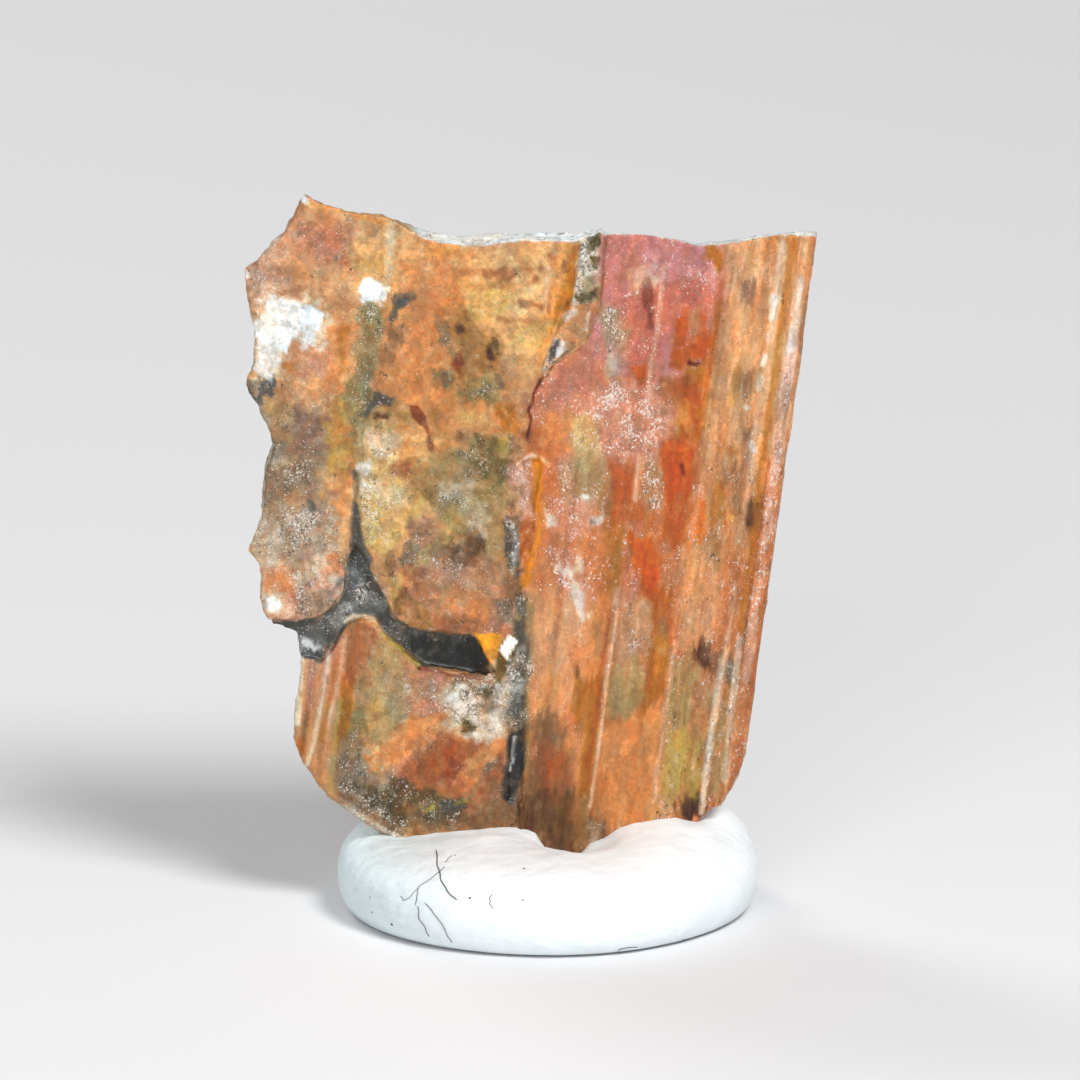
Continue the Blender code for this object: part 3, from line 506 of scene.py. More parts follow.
    ("dusk", 0.6, 2, 4, ((300, 588), (336, 584), (326, 616), (296, 618))),
    ("olive tan", 0.7, 2, 2, ((250, 546), (262, 548), (260, 580), (252, 566))),
    ("gold", 0.95, 2, 3, ((364, 502), (384, 500), (386, 530), (378, 548), (364, 544))),
    ("brown", 0.6, 2, 3, ((392, 468), (414, 460), (412, 474), (394, 480))),
    ("dusk", 0.75, 3, 4, ((452, 444), (478, 446), (476, 462), (454, 460))),
    ("moss", 0.5, 3, 5, ((474, 436), (506, 440), (504, 490), (478, 480))),
    ("frost", 0.6, 2, 4, ((438, 482), (474, 480), (474, 500), (440, 498))),
    ("frost", 0.5, 2, 4, ((462, 506), (484, 506), (482, 534), (464, 532))),
    ("olive brown", 0.7, 4, 4, ((410, 474), (440, 470), (438, 506), (414, 502))),
    ("straw", 0.9, 3, 3, ((414, 494), (424, 500), (398, 548), (382, 568), (378, 550))),
    ("straw", 0.75, 2, 2, ((452, 518), (460, 522), (420, 572), (396, 590), (392, 582))),
    ("dusk", 0.85, 3, 3, ((400, 562), (408, 534), (420, 528), (420, 556), (408, 574))),
    ("dark brown", 0.6, 3, 4, ((440, 544), (480, 540), (478, 566), (448, 560))),
    ("brown", 0.7, 3, 3, ((386, 562), (398, 558), (396, 582), (388, 580))),
    ("dark brown", 0.65, 3, 3, ((390, 592), (408, 590), (406, 618), (394, 612))),
    ("olive brown", 0.9, 3, 3, ((408, 594), (424, 596), (424, 622), (410, 620))),
    ("red brown", 0.8, 3, 3, ((404, 572), (430, 568), (436, 592), (412, 594))),
    ("salmon", 0.9, 3, 3, ((448, 594), (484, 592), (486, 622), (466, 616), (450, 606))),
    ("salmon", 0.7, 3, 3, ((470, 566), (504, 562), (502, 584), (476, 588))),
    ("dusk", 0.6, 2, 3, ((494, 600), (512, 598), (514, 622), (498, 620))),
    ("red brown", 0.7, 3, 3, ((436, 612), (468, 616), (470, 634), (438, 632))),
    ("rust", 0.85, 1.5, 0.8, ((408, 404), (419, 405), (427, 416), (430, 434), (435, 446), (431, 455),
        (427, 444), (428, 434), (424, 426), (412, 418))),
    ("lichen", 0.8, 3, 3, ((360, 303), (384, 306), (380, 330), (364, 334))),
    # The ledge between the plates.
    ("moss", 0.9, 2, 2, ((582, 234), (600, 231), (601, 246), (591, 250), (583, 244))),
    ("moss", 0.9, 2, 2, ((590, 262), (601, 256), (601, 268), (592, 274))),
    ("moss", 0.9, 2, 2, ((577, 290), (590, 292), (600, 284), (598, 300), (586, 303), (576, 298))),
    ("tan", 0.9, 2, 2, ((575, 306), (590, 304), (588, 338), (570, 350), (558, 350), (566, 326))),
    ("black", 0.8, 1, 1, ((556, 340), (560, 338), (557, 354), (550, 362), (548, 359))),
    ("frost", 0.9, 1, 1, ((562, 340), (568, 342), (562, 354), (554, 362), (556, 352))),
    # Smaller marks of the right plate.
    ("rose", 0.9, 4, 3, ((602, 234), (700, 240), (716, 272), (640, 282), (622, 300), (602, 300))),
    ("peach", 0.75, 2, 4, ((624, 272), (648, 264), (652, 282), (632, 296))),
    ("crimson", 0.9, 3, 3, ((634, 290), (668, 282), (712, 278), (710, 312), (670, 318), (662, 362),
        (634, 372))),
    # A thin dark red line of painted shade.
    ("dark red", 0.45, 1.5, 2, ((645, 282), (652, 282), (650, 330), (644, 328))),
    ("tan", 0.7, 2, 2, ((690, 312), (702, 304), (700, 334), (688, 338))),
    ("vivid", 0.8, 1.5, 2, ((676, 318), (688, 314), (686, 342), (674, 344))),
    ("vivid", 1.0, 1.5, 2, ((690, 342), (712, 338), (711, 352), (692, 358))),
    ("red orange", 0.9, 2, 2, ((668, 350), (692, 348), (690, 366), (668, 370))),
    ("vivid", 0.9, 2, 2, ((634, 368), (650, 364), (650, 378), (636, 380))),
    ("red brown", 0.7, 3, 3, ((660, 382), (696, 376), (690, 398), (664, 402))),
    ("red orange", 0.85, 3, 3, ((684, 382), (700, 380), (694, 470), (682, 470))),
    ("amber", 0.8, 2, 3, ((676, 400), (692, 404), (688, 428), (674, 424))),
    ("vivid", 0.85, 2, 2, ((648, 432), (660, 434), (658, 446), (648, 446))),
    ("vivid", 0.9, 3, 3, ((662, 446), (692, 444), (690, 500), (668, 500), (664, 470))),
    ("smooth red", 0.95, 3, 2, ((608, 458), (632, 456), (632, 500), (612, 500))),
    ("speckled", 0.9, 8, 5, ((590, 392), (650, 392), (664, 440), (640, 466), (600, 462), (584, 430))),
    ("gold", 0.6, 6, 6, ((572, 416), (598, 418), (602, 462), (578, 470))),
    ("olive tan", 0.6, 5, 4, ((566, 450), (604, 462), (604, 506), (574, 500))),
    ("rose brown", 0.7, 4, 4, ((540, 372), (590, 362), (606, 392), (560, 410), (536, 402))),
    ("salmon", 0.8, 3, 4, ((544, 408), (570, 412), (568, 452), (540, 448))),
    ("purple brown", 0.8, 2, 3, ((738, 278), (750, 284), (750, 300), (742, 300))),
    ("orange", 0.9, 3, 2, ((762, 234), (800, 234), (798, 256), (762, 254))),
    ("ochre", 0.8, 2, 2, ((704, 246), (718, 250), (717, 270), (706, 262))),
    ("vivid", 0.9, 3, 3, ((626, 538), (652, 534), (660, 572), (652, 598), (634, 566))),
    ("vivid", 0.8, 2, 2, ((690, 496), (706, 496), (704, 542), (690, 540))),
    ("red orange", 0.8, 3, 2, ((654, 596), (674, 592), (672, 640), (656, 640))),
    ("ochre", 0.85, 2, 2, ((650, 634), (670, 630), (664, 700), (648, 702))),
    ("brown", 0.8, 2, 2, ((660, 618), (672, 618), (670, 638), (660, 636))),
    ("grey", 0.45, 7, 5, ((616, 596), (646, 600), (650, 640), (632, 666), (612, 650))),
    ("olive tan", 0.85, 5, 4, ((612, 662), (644, 656), (646, 696), (622, 724), (602, 716))),
    ("bottom orange", 1.0, 2, 2, ((600, 728), (640, 716), (662, 700), (654, 800), (640, 824), (606, 824),
        (592, 812))),
    ("ochre", 0.85, 2, 2, ((592, 680), (606, 670), (598, 740), (588, 800), (578, 800), (584, 740))),
    ("orange", 1.0, 2, 2, ((540, 682), (556, 676), (558, 702), (548, 714), (534, 710))),
    ("brown", 0.7, 6, 5, ((530, 712), (562, 716), (572, 740), (556, 752), (534, 744))),
    ("red brown", 0.75, 5, 5, ((534, 742), (574, 752), (572, 806), (540, 800))),
    ("red orange", 0.5, 2, 2, ((546, 756), (560, 758), (558, 778), (548, 776))),
    ("olive brown", 0.8, 3, 3, ((572, 790), (590, 800), (584, 840), (560, 846), (556, 812))),
    ("dusk", 0.6, 2, 3, ((586, 812), (602, 812), (600, 838), (588, 840))),
    ("olive", 0.85, 3, 3, ((672, 676), (690, 672), (690, 726), (670, 726))),
    ("olive yellow", 0.7, 3, 3, ((668, 730), (704, 730), (696, 796), (662, 796))),
    ("dark brown", 0.6, 3, 2, ((694, 650), (710, 647), (712, 667), (697, 667))),
    ("dusk", 0.9, 3, 2, ((712, 650), (728, 656), (738, 680), (722, 678))),
    ("red brown", 0.5, 2, 2, ((690, 680), (706, 680), (702, 740), (692, 740))),
    ("dark brown", 0.7, 2, 2, ((738, 506), (758, 502), (756, 526), (740, 524))),
    ("dark brown", 0.75, 2, 2, ((674, 800), (706, 802), (700, 814), (680, 812))),
    # Smaller marks of the lower left plate.
    ("rose brown", 0.8, 2, 2, ((322, 652), (334, 646), (326, 700), (318, 700))),
    ("red brown", 0.85, 3, 2, ((348, 622), (372, 622), (372, 646), (356, 684), (344, 684))),
    ("ochre", 0.7, 3, 2, ((342, 684), (356, 684), (348, 740), (338, 740))),
    ("olive", 0.8, 3, 3, ((354, 680), (368, 676), (366, 740), (352, 740))),
    ("dusk", 0.7, 3, 4, ((344, 740), (366, 740), (364, 790), (340, 784))),
    ("olive tan", 0.8, 4, 4, ((366, 652), (404, 660), (404, 730), (368, 740))),
    ("straw", 0.6, 3, 3, ((372, 680), (400, 690), (396, 706), (372, 720))),
    ("salmon", 1.0, 2, 2, ((366, 756), (410, 736), (412, 720), (444, 714), (430, 742), (402, 762),
        (374, 776))),
    ("red brown", 0.9, 4, 4, ((404, 764), (440, 738), (506, 742), (504, 800), (404, 796))),
    ("salmon", 0.7, 3, 3, ((460, 762), (500, 742), (500, 756), (468, 780))),
    ("dusk", 0.8, 2, 3, ((480, 756), (500, 756), (500, 776), (484, 776))),
    ("red orange", 0.8, 2, 2, ((420, 760), (452, 744), (450, 772), (424, 790))),
    ("rust", 0.6, 2, 2, ((446, 752), (466, 742), (462, 776), (440, 796))),
    ("salmon", 0.9, 2, 1.5, ((404, 722), (412, 716), (443, 716), (436, 730), (420, 744), (388, 764),
        (368, 776), (366, 764))),
    ("red brown", 0.9, 2, 2, ((390, 776), (424, 764), (450, 784), (448, 800), (396, 792))),
    ("salmon", 0.8, 2, 1.5, ((458, 776), (486, 744), (503, 742), (500, 756), (470, 786))),
    ("dusk", 0.8, 3, 3, ((334, 766), (350, 756), (368, 784), (400, 800), (396, 834), (362, 812), (336, 792))),
    ("umber", 0.85, 3, 2.5, ((346, 780), (404, 782), (440, 796), (470, 796), (464, 820), (408, 824),
        (372, 806))),
    ("charcoal", 0.8, 2, 1.5, ((438, 804), (464, 797), (466, 808), (444, 820))),
    ("brown", 0.7, 3, 2, ((406, 814), (440, 820), (520, 800), (520, 826), (410, 834))),
    # Greyed patches of the left plates.
    ("grey brown", 0.65, 7, 6, ((256, 480), (290, 470), (330, 482), (334, 540), (312, 562), (262, 556))),
    ("dusk", 0.55, 5, 5, ((260, 444), (304, 446), (316, 476), (290, 500), (258, 480))),
    ("ash", 0.5, 4, 5, ((276, 508), (300, 500), (318, 530), (296, 556), (270, 548))),
    ("olive", 0.5, 6, 5, ((430, 452), (496, 440), (500, 520), (452, 540), (424, 500))),
    ("grey brown", 0.5, 6, 5, ((412, 572), (440, 560), (500, 566), (508, 606), (480, 600), (430, 600))),
    ("dusk", 0.5, 5, 4, ((412, 540), (446, 536), (450, 556), (418, 562))),
    ("grey brown", 0.5, 6, 5, ((372, 664), (404, 672), (440, 690), (404, 712), (366, 700))),
    # The frosted patch at the top of the lower left plate, and the seam beside it.
    ("ash", 0.85, 3, 2, ((444, 690), (462, 678), (490, 684), (510, 676), (522, 692), (514, 716), (500, 722),
        (494, 742), (470, 736), (452, 716))),
    ("pale", 0.8, 3, 3, ((470, 702), (504, 706), (502, 730), (488, 744), (472, 738))),
    ("gritty", 0.8, 4, 3, ((440, 682), (468, 676), (480, 700), (470, 724), (446, 716))),
    ("frost", 0.7, 2, 3, ((450, 694), (464, 688), (472, 698), (462, 706), (454, 704))),
    ("frost", 0.7, 2, 3, ((462, 722), (480, 716), (484, 728), (474, 736))),
    ("dusk", 0.8, 2, 2.5, ((474, 700), (496, 690), (498, 704), (480, 712))),
    ("frost", 0.9, 2, 2, ((496, 676), (516, 678), (514, 712), (500, 706))),
    ("moss", 0.8, 2, 2, ((468, 686), (494, 684), (490, 700), (470, 698))),
    ("moss", 0.8, 1.5, 2, ((468, 720), (478, 722), (474, 731), (468, 730))),
    ("moss", 0.7, 2, 3, ((496, 664), (518, 660), (518, 676), (500, 678))),
    ("olive", 0.8, 3, 3, ((518, 596), (532, 592), (532, 690), (524, 770), (518, 720))),
    ("dusk", 0.6, 2, 3, ((516, 604), (526, 600), (524, 700), (518, 700))),
    ("gritty", 0.7, 3, 3, ((506, 684), (530, 676), (528, 716), (510, 722))),
    ("black", 1.0, 3, 1.3, ((506, 720), (522, 714), (524, 760), (520, 788), (512, 806), (502, 800),
        (505, 760))),
    ("gritty", 0.8, 4, 2, ((500, 694), (524, 690), (526, 726), (514, 732), (503, 722))),
    # White patches of the upper left plate.
    ("white", 1.0, 2, 2, ((268, 298), (296, 300), (300, 308), (312, 306), (323, 322), (320, 334), (300, 330),
        (288, 350), (284, 358), (272, 352), (258, 338), (256, 322), (268, 316))),
    ("frost", 0.9, 3, 3, ((254, 338), (284, 356), (268, 380), (251, 376))),
    ("white", 1.0, 1.5, 1, ((361, 289), (370, 283), (384, 285), (389, 294), (385, 303), (374, 299),
        (366, 297))),
    # The shade at the foot.
    ("dark brown", 0.6, 5, 3, ((520, 796), (572, 796), (576, 850), (540, 848), (520, 832))),
    # Frost on the right plate.
    ("frost", 0.75, 3, 2.5, ((542, 504), (552, 508), (558, 522), (546, 520))),
    ("frost", 0.7, 3, 2.5, ((552, 568), (580, 566), (582, 576), (556, 580))),
    ("frost", 0.75, 3, 2.5, ((567, 582), (580, 584), (584, 612), (592, 614), (582, 620), (572, 606))),
    ("frost", 0.6, 3, 2.5, ((590, 512), (606, 514), (602, 522), (590, 522))),
    # The seam beside the recess, and its lit facets: the last two areas are a painted reflection and a
    # painted highlight.
    ("gritty", 0.9, 3, 2, ((500, 652), (520, 634), (530, 634), (530, 690), (496, 690), (486, 672))),
    ("moss", 0.85, 2, 1, ((493, 668), (503, 640), (514, 628), (524, 640), (510, 668), (498, 684))),
    ("charcoal", 0.85, 3, 1.5, ((516, 620), (525, 618), (528, 660), (524, 700), (516, 720), (508, 716),
        (516, 670))),
    ("ash", 0.8, 1.5, 2.5, ((512, 656), (522, 650), (522, 690), (510, 704))),
    ("slate", 0.8, 2, 1.5, ((517, 592), (525, 590), (526, 612), (519, 616))),
    ("ash", 0.75, 1.2, 1.8, ((509, 522), (516, 520), (518, 544), (516, 572), (512, 566), (513, 540))),
    ("lit orange", 1.0, 0.7, 0, ((474, 633), (502, 634), (499, 650), (492, 668))),
    ("lit white", 1.0, 0.7, 0, ((499, 650), (509, 634), (518, 641), (507, 660))),
)

# Strokes, painted after the areas: colour, strength, softness and half width in pixels, line.
STROKES = (
    # The upper left plate and the ledge.
    ("amber", 0.8, 2, 3, ((306, 203), (340, 211), (400, 225))),
    ("white", 1.0, 1.5, 3, ((303, 198), (308, 203))),
    ("white", 0.8, 1.5, 2.5, ((246, 272), (249, 276))),
    ("cream", 0.7, 3, 4, ((391, 226), (392, 252), (387, 286))),
    ("lichen", 0.85, 4, 10, ((376, 316), (371, 328), (366, 346), (364, 376), (356, 402))),
    ("olive tan", 0.8, 3, 4, ((364, 420), (362, 440), (361, 462))),
    ("olive tan", 0.6, 3, 4, ((358, 476), (357, 500))),
    ("red brown", 0.4, 3, 3, ((304, 232), (345, 240))),
    ("red brown", 0.45, 3, 3, ((458, 274), (500, 272), (542, 268))),
    ("red brown", 0.4, 3, 2.5, ((470, 288), (510, 285), (538, 284))),
    ("red brown", 0.8, 2, 3.5, ((520, 303), (534, 307), (546, 309))),
    ("red brown", 0.6, 2, 2.5, ((500, 320), (522, 322), (545, 320))),
    ("dark brown", 0.9, 2, 3, ((490, 352), (492, 357))),
    ("charcoal", 0.6, 2, 3.5, ((444, 377), (446, 384))),
    ("charcoal", 0.6, 2, 2.5, ((501, 383), (504, 386))),
    ("ridge", 0.9, 1.5, 1.5, ((549, 268), (547, 290), (545, 312))),
    # A painted shadow: the shade that the upper left plate's edge casts onto the right plate.
    ("dark red", 0.8, 1.2, 1.3, ((543, 376), (535, 393), (529, 412), (532, 421), (528, 438))),
    ("brown", 0.8, 2.5, 4, ((460, 436), (466, 439))),
    ("red brown", 0.6, 4, 5, ((394, 470), (410, 466))),
    ("purple brown", 0.7, 2, 3, ((332, 494), (336, 495))),
    ("charcoal", 0.7, 3, 4, ((308, 500), (312, 508))),
    # A painted highlight on a facet at the edge of the rose plate.
    ("lit white", 0.9, 1.0, 1.2, ((589, 314), (586, 330))),
    # A painted shadow line along the edge of the rose plate.
    ("dark brown", 0.8, 1.2, 1.2, ((566, 352), (553, 365), (546, 377))),
    # The right plate and its left edge.
    ("ridge", 1.0, 1.0, 1.3, ((522, 459), (532, 456), (541, 459), (549, 466))),
    # Painted light: an orange glow where light comes through the right plate's thin left edge.
    ("glow", 1.0, 1.5, 4.5, ((538, 462), (539, 480), (537, 496), (538, 506))),
    ("glow", 1.0, 1.5, 2.2, ((540, 512), (539, 528), (537, 542), (532, 556))),
    ("glow", 1.0, 2, 4.2, ((532, 556), (529, 570), (526, 582))),
    ("pink", 0.8, 2, 2.5, ((664, 268), (660, 300), (657, 335), (651, 370), (648, 402))),
    ("ridge", 0.85, 2, 2.2, ((640, 458), (637, 480), (634, 500))),
    ("frost", 0.8, 2.5, 3, ((574, 312), (566, 318))),
    ("frost", 0.85, 2, 2.5, ((583, 497), (587, 497))),
    ("charcoal", 0.6, 1.5, 2.2, ((591, 523), (593, 524))),
    ("pink", 0.7, 2.5, 3, ((617, 590), (615, 606))),
    ("pink", 0.7, 2, 3.2, ((699, 486), (695, 515), (691, 540))),
    ("red orange", 0.5, 2, 1.8, ((722, 282), (716, 330), (711, 360), (703, 400), (700, 440))),
    ("ochre", 0.65, 2, 2.2, ((719, 300), (714, 340), (707, 385), (704, 430))),
    ("ridge", 0.85, 2, 4.0, ((782, 246), (777, 280), (772, 320), (768, 340))),
    ("frost", 0.8, 2, 3.5, ((774, 298), (771, 318))),
    # A painted highlight.
    ("lit white", 0.8, 2, 2.5, ((765, 358), (763, 366))),
    ("frost", 0.7, 1.5, 2.2, ((762, 378), (758, 390))),
    ("ridge", 0.55, 2, 3.5, ((762, 390), (750, 470), (742, 540))),
    ("ochre", 0.65, 2, 3.5, ((793, 240), (784, 300), (774, 380), (764, 450), (757, 510), (749, 570),
        (741, 630))),
    ("pink", 0.75, 2, 5.0, ((802, 280), (794, 330), (784, 400), (774, 480), (766, 540), (757, 600),
        (747, 680))),
    ("frost", 0.6, 2, 3.0, ((801, 282), (796, 320), (790, 350))),
    ("red brown", 0.5, 2, 3.5, ((815, 240), (803, 330), (792, 420), (783, 500), (770, 600), (757, 680),
        (745, 740), (738, 780))),
    ("smooth red", 0.5, 2, 2.5, ((770, 545), (762, 610), (752, 690), (744, 740))),
    ("ridge", 0.6, 2, 2.8, ((735, 585), (727, 650), (716, 720))),
    ("ridge", 0.6, 2, 2.2, ((676, 640), (668, 690), (661, 740), (654, 800))),
    ("ridge", 0.9, 1.5, 1.8, ((617, 612), (611, 650), (606, 686), (601, 730), (594, 780), (590, 806))),
    ("red orange", 0.7, 1.5, 2.2, ((610, 610), (605, 650), (599, 690), (593, 740), (586, 770))),
    ("frost", 0.6, 2, 2.6, ((722, 662), (716, 700), (708, 760), (702, 812))),
    ("pale", 0.6, 2, 3.5, ((740, 640), (734, 700), (725, 780))),
    ("white", 0.8, 1.5, 2.2, ((744, 409), (747, 409))),
    ("yellow", 0.9, 1.2, 2.0, ((731, 515), (732, 518))),
    ("white", 0.7, 1.5, 2.0, ((772, 483), (774, 484))),
    ("frost", 0.8, 2, 3.5, ((752, 446), (754, 451))),
    ("dark brown", 0.6, 2, 2.5, ((577, 668), (578, 676))),
    ("dark red", 0.6, 2, 2.5, ((682, 466), (683, 472))),
    ("dark red", 0.7, 1.5, 2.0, ((689, 363), (697, 364))),
    # The lower left plate and the recess.
    ("cream", 1.0, 2, 4.0, ((300, 662), (298, 690), (296, 722))),
    ("rose brown", 0.7, 2, 3.5, ((311, 664), (309, 700), (304, 722))),
    ("cream", 0.8, 1.5, 2.2, ((329, 655), (323, 695), (313, 745), (306, 766))),
    ("ridge", 0.7, 1.5, 1.8, ((345, 640), (337, 690), (327, 730))),
    ("ochre", 0.55, 2, 2.0, ((336, 660), (329, 705), (321, 740))),
    ("olive yellow", 0.5, 2, 2.4, ((341, 700), (335, 740), (329, 790))),
    ("brown", 0.7, 2, 2.4, ((307, 712), (303, 740))),
    ("olive yellow", 0.9, 1.5, 2.0, ((384, 634), (396, 645), (410, 659), (420, 668))),
    ("dark red", 0.6, 1.5, 1.8, ((418, 668), (446, 673), (470, 676), (488, 682))),
    ("cream", 0.9, 1.2, 1.6, ((345, 621), (354, 617), (366, 617), (375, 620))),
    ("white", 0.8, 2, 3.0, ((407, 687), (410, 690))),
    ("white", 0.8, 2, 3.5, ((446, 699), (456, 694))),
    ("white", 0.8, 2, 3.5, ((460, 687), (464, 688))),
    ("orange", 0.8, 3, 4.5, ((462, 776), (480, 760), (500, 744))),
    ("yellow", 0.7, 1.5, 2.0, ((424, 812), (434, 806))),
    ("olive yellow", 0.8, 1.5, 2.0, ((456, 803), (468, 801))),
    ("brown", 0.8, 2, 3.0, ((338, 794), (362, 808), (392, 828))),
    ("pale", 0.9, 1.2, 2.4, ((338, 804), (368, 821), (398, 838))),
    ("frost", 0.8, 1.0, 1.0, ((515, 737), (513, 752), (511, 770))),
    ("crust", 0.8, 2, 3.0, ((494, 662), (492, 670))),
    ("frost", 0.7, 2, 3.0, ((303, 642), (318, 648))),
)

# Sizes in mm, in the crystal's own frame, of the noise that makes marks ragged: plain faces, striated ones.
PLAIN_WOBBLE = ((0.34, 0.34, 0.40), (0.12, 0.12, 0.15))
STREAKED_WOBBLE = ((0.16, 0.16, 1.50), (0.07, 0.07, 0.60))
WOBBLE_FIELDS = 5

# Noise that shifts marks on a plain face: size in mm, strength in pixels.
PLAIN_WARP = (((0.42, 0.42, 0.50), 6.5), ((0.13, 0.13, 0.16), 4.0))
# Noise that shifts marks on a striated face, across and along the stone: size, seed, octaves, pixels.
STREAKED_WARP = (((0.16, 0.16, 0.70), 15, 2, 2.2), ((0.10, 0.10, 1.30), 10, 3, 13.0))
WARP_FIELDS = 3
STROKE_WARP = 0.22  # the share of that shift that a stroke follows

FADING = 0.62  # how far a mark may fade inside its own outline
FADE_FROM, FADE_TO = -0.3, 1.2
TORN_FROM = 0.5  # raggedness in pixels at which an outline starts to tear
TORN_FULLY = 2.5  # raggedness in pixels at which it is torn in full
TORN_SOFTNESS = 2.5  # the least softness in pixels of a torn outline
LOOSE_RAGGED = 4  # pixels of raggedness that looseness adds
STROKE_PATCHINESS = 0.35
DEEPER = 1.30  # how far each mark's colour is driven away from the plain tan
DEEPENED = (4, 275)
DULL, VIVID = 25, 75  # the spread of red, green and blue at which a colour counts as grey, and as vivid


def picture_place(points):
    """Column and row at which points of the row frame, in millimetres, are seen."""
    columns = CENTRE_COLUMN + points[:, 0] / PIXEL
    rows = GROUND_ROW - (points[:, 2] * math.cos(ELEVATION) + points[:, 1] * math.sin(ELEVATION)) / PIXEL
    return np.stack([columns, rows], axis=1)


def distance_to_line(places, start, end):
    along = end - start
    share = np.clip((places - start) @ along / max(along @ along, 1e-9), 0.0, 1.0)
    return np.linalg.norm(places - start - share[:, None] * along, axis=1)


def depth_inside(places, outline):
    """How far each place lies inside a closed outline; negative outside it."""
    outline = np.array(outline, float)
    nearest = np.full(len(places), np.inf)
    inside = np.zeros(len(places), bool)
    for start, end in zip(outline, np.roll(outline, -1, axis=0)):
        nearest = np.minimum(nearest, distance_to_line(places, start, end))
        crosses = (start[1] > places[:, 1]) != (end[1] > places[:, 1])
        rise = end[1] - start[1] if end[1] != start[1] else 1.0
        at = start[0] + (places[:, 1] - start[1]) / rise * (end[0] - start[0])
        inside ^= crosses & (places[:, 0] < at)
    return np.where(inside, nearest, -nearest)


def near(places, outline, margin):
    """Which places lie within the outline's box and this margin around it."""
    outline = np.array(outline, float)
    low, high = outline.min(0) - margin, outline.max(0) + margin
    return np.nonzero(((places > low) & (places < high)).all(1))[0]


def wobbles(points, striated):
    """Fields of noise, from about -1 to 1, that make the marks' outlines ragged."""
    fields = []
    for field in range(WOBBLE_FIELDS):
        plain, streaked = (
            1.1 * fractal(points, coarse, 11 + 7 * field, 2) + 0.9 * fractal(points, fine, 53 + 7 * field, 3)
            for coarse, fine in (PLAIN_WOBBLE, STREAKED_WOBBLE))
        fields.append(plain + striated * (streaked - plain))
    return fields


def warps(points, striated):
    """Shifts in pixels that tear the marks' outlines: every way on plain faces, along striated ones."""
    fields = []
    for field in range(WARP_FIELDS):
        seed = 301 + 20 * field
        shift = np.zeros((len(points), 2))
        for axis, (size, own_seed, octaves, strength) in enumerate(STREAKED_WARP):
            for step, (plain_size, pixels) in enumerate(PLAIN_WARP):
                plain = fractal(points, plain_size, seed + axis + 5 * step, 2)
                shift[:, axis] += (1 - striated) * pixels * plain
            shift[:, axis] += striated * strength * fractal(points, size, seed + own_seed, octaves)
        fields.append(shift)
    return fields


def blend(state, some, colour, share):
    state[some] += share[:, None] * (np.array(COLOURS[colour], float) - state[some])


def paint_area(state, places, fields, loose, colour, strength, soft, ragged, outline):
    wobble, fading, warp = fields
    torn = min(1.0, max(0.0, (ragged - TORN_FROM) / (TORN_FULLY - TORN_FROM)))
    soft = max(soft, TORN_SOFTNESS * torn) * loose
    ragged = ragged * loose + (loose - 1) * LOOSE_RAGGED
    some = near(places, outline, soft + 2 * ragged + 2 + 30 * torn)
    inside = depth_inside(places[some] + torn * warp[some], outline) + ragged * wobble[some]
    faded = 1 - FADING * torn * ramp(fading[some], FADE_FROM, FADE_TO)
    blend(state, some, colour, strength * faded * ramp(inside, -soft, soft))


def paint_stroke(state, places, fields, loose, colour, strength, soft, width, line):
    wobble, fading, warp = fields
    soft = soft * loose
    some = near(places, line, soft + width + 12)
    moved = places[some] + STROKE_WARP * warp[some]
    line = np.array(line, float)
    away = np.min([distance_to_line(moved, start, end) for start, end in zip(line, line[1:])], axis=0)
    patchy = width * (1 + STROKE_PATCHINESS * wobble[some])
    faded = 1 - 0.5 * FADING * ramp(fading[some], FADE_FROM, FADE_TO)
    blend(state, some, colour, strength * faded * ramp(patchy - away, -soft, soft))


def paint(places, wobble, warp, loose=1.0):
    """Red, green, blue, flecks and pits of each place, from the marks. Loose spreads the marks' edges."""
    state = np.tile(np.array(COLOURS["tan"], float), (len(places), 1))
    for paint_mark, marks in ((paint_area, AREAS), (paint_stroke, STROKES)):
        for number, mark in enumerate(marks):
            own, other = number % WOBBLE_FIELDS, (number + 2) % WOBBLE_FIELDS
            paint_mark(state, places, (wobble[own], wobble[other], warp[number % WARP_FIELDS]), loose, *mark)
    plain = np.array(COLOURS["tan"][:3], float)
    vivid = ramp(np.ptp(state[:, :3], axis=1), DULL, VIVID)[:, None]
    state[:, :3] = np.clip(state[:, :3] + (DEEPER - 1) * vivid * (state[:, :3] - plain), *DEEPENED)
    return state


# ------------------------------------------------------------------------------------------------------------
# The crystal's surface
# ------------------------------------------------------------------------------------------------------------

FINE_EDGE = 0.05  # edge of the fine mesh, mm
MOST_TRIANGLES = 190000
SHARP = math.radians(62)

# Where the striations are strong, and how strong: outlines in pixels.
STRIATED = (
    (1.0, ((716, 200), (860, 200), (860, 900), (640, 900), (672, 620), (700, 400))),
    (0.35, ((604, 200), (730, 200), (708, 480), (526, 480), (526, 440), (533, 392), (553, 364), (588, 340))),
    (0.70, ((526, 466), (708, 466), (700, 900), (520, 900))),
    (0.7, ((290, 655), (345, 616), (362, 616), (352, 700), (346, 800), (290, 780))),
)
BACK_STREAKS = 0.1

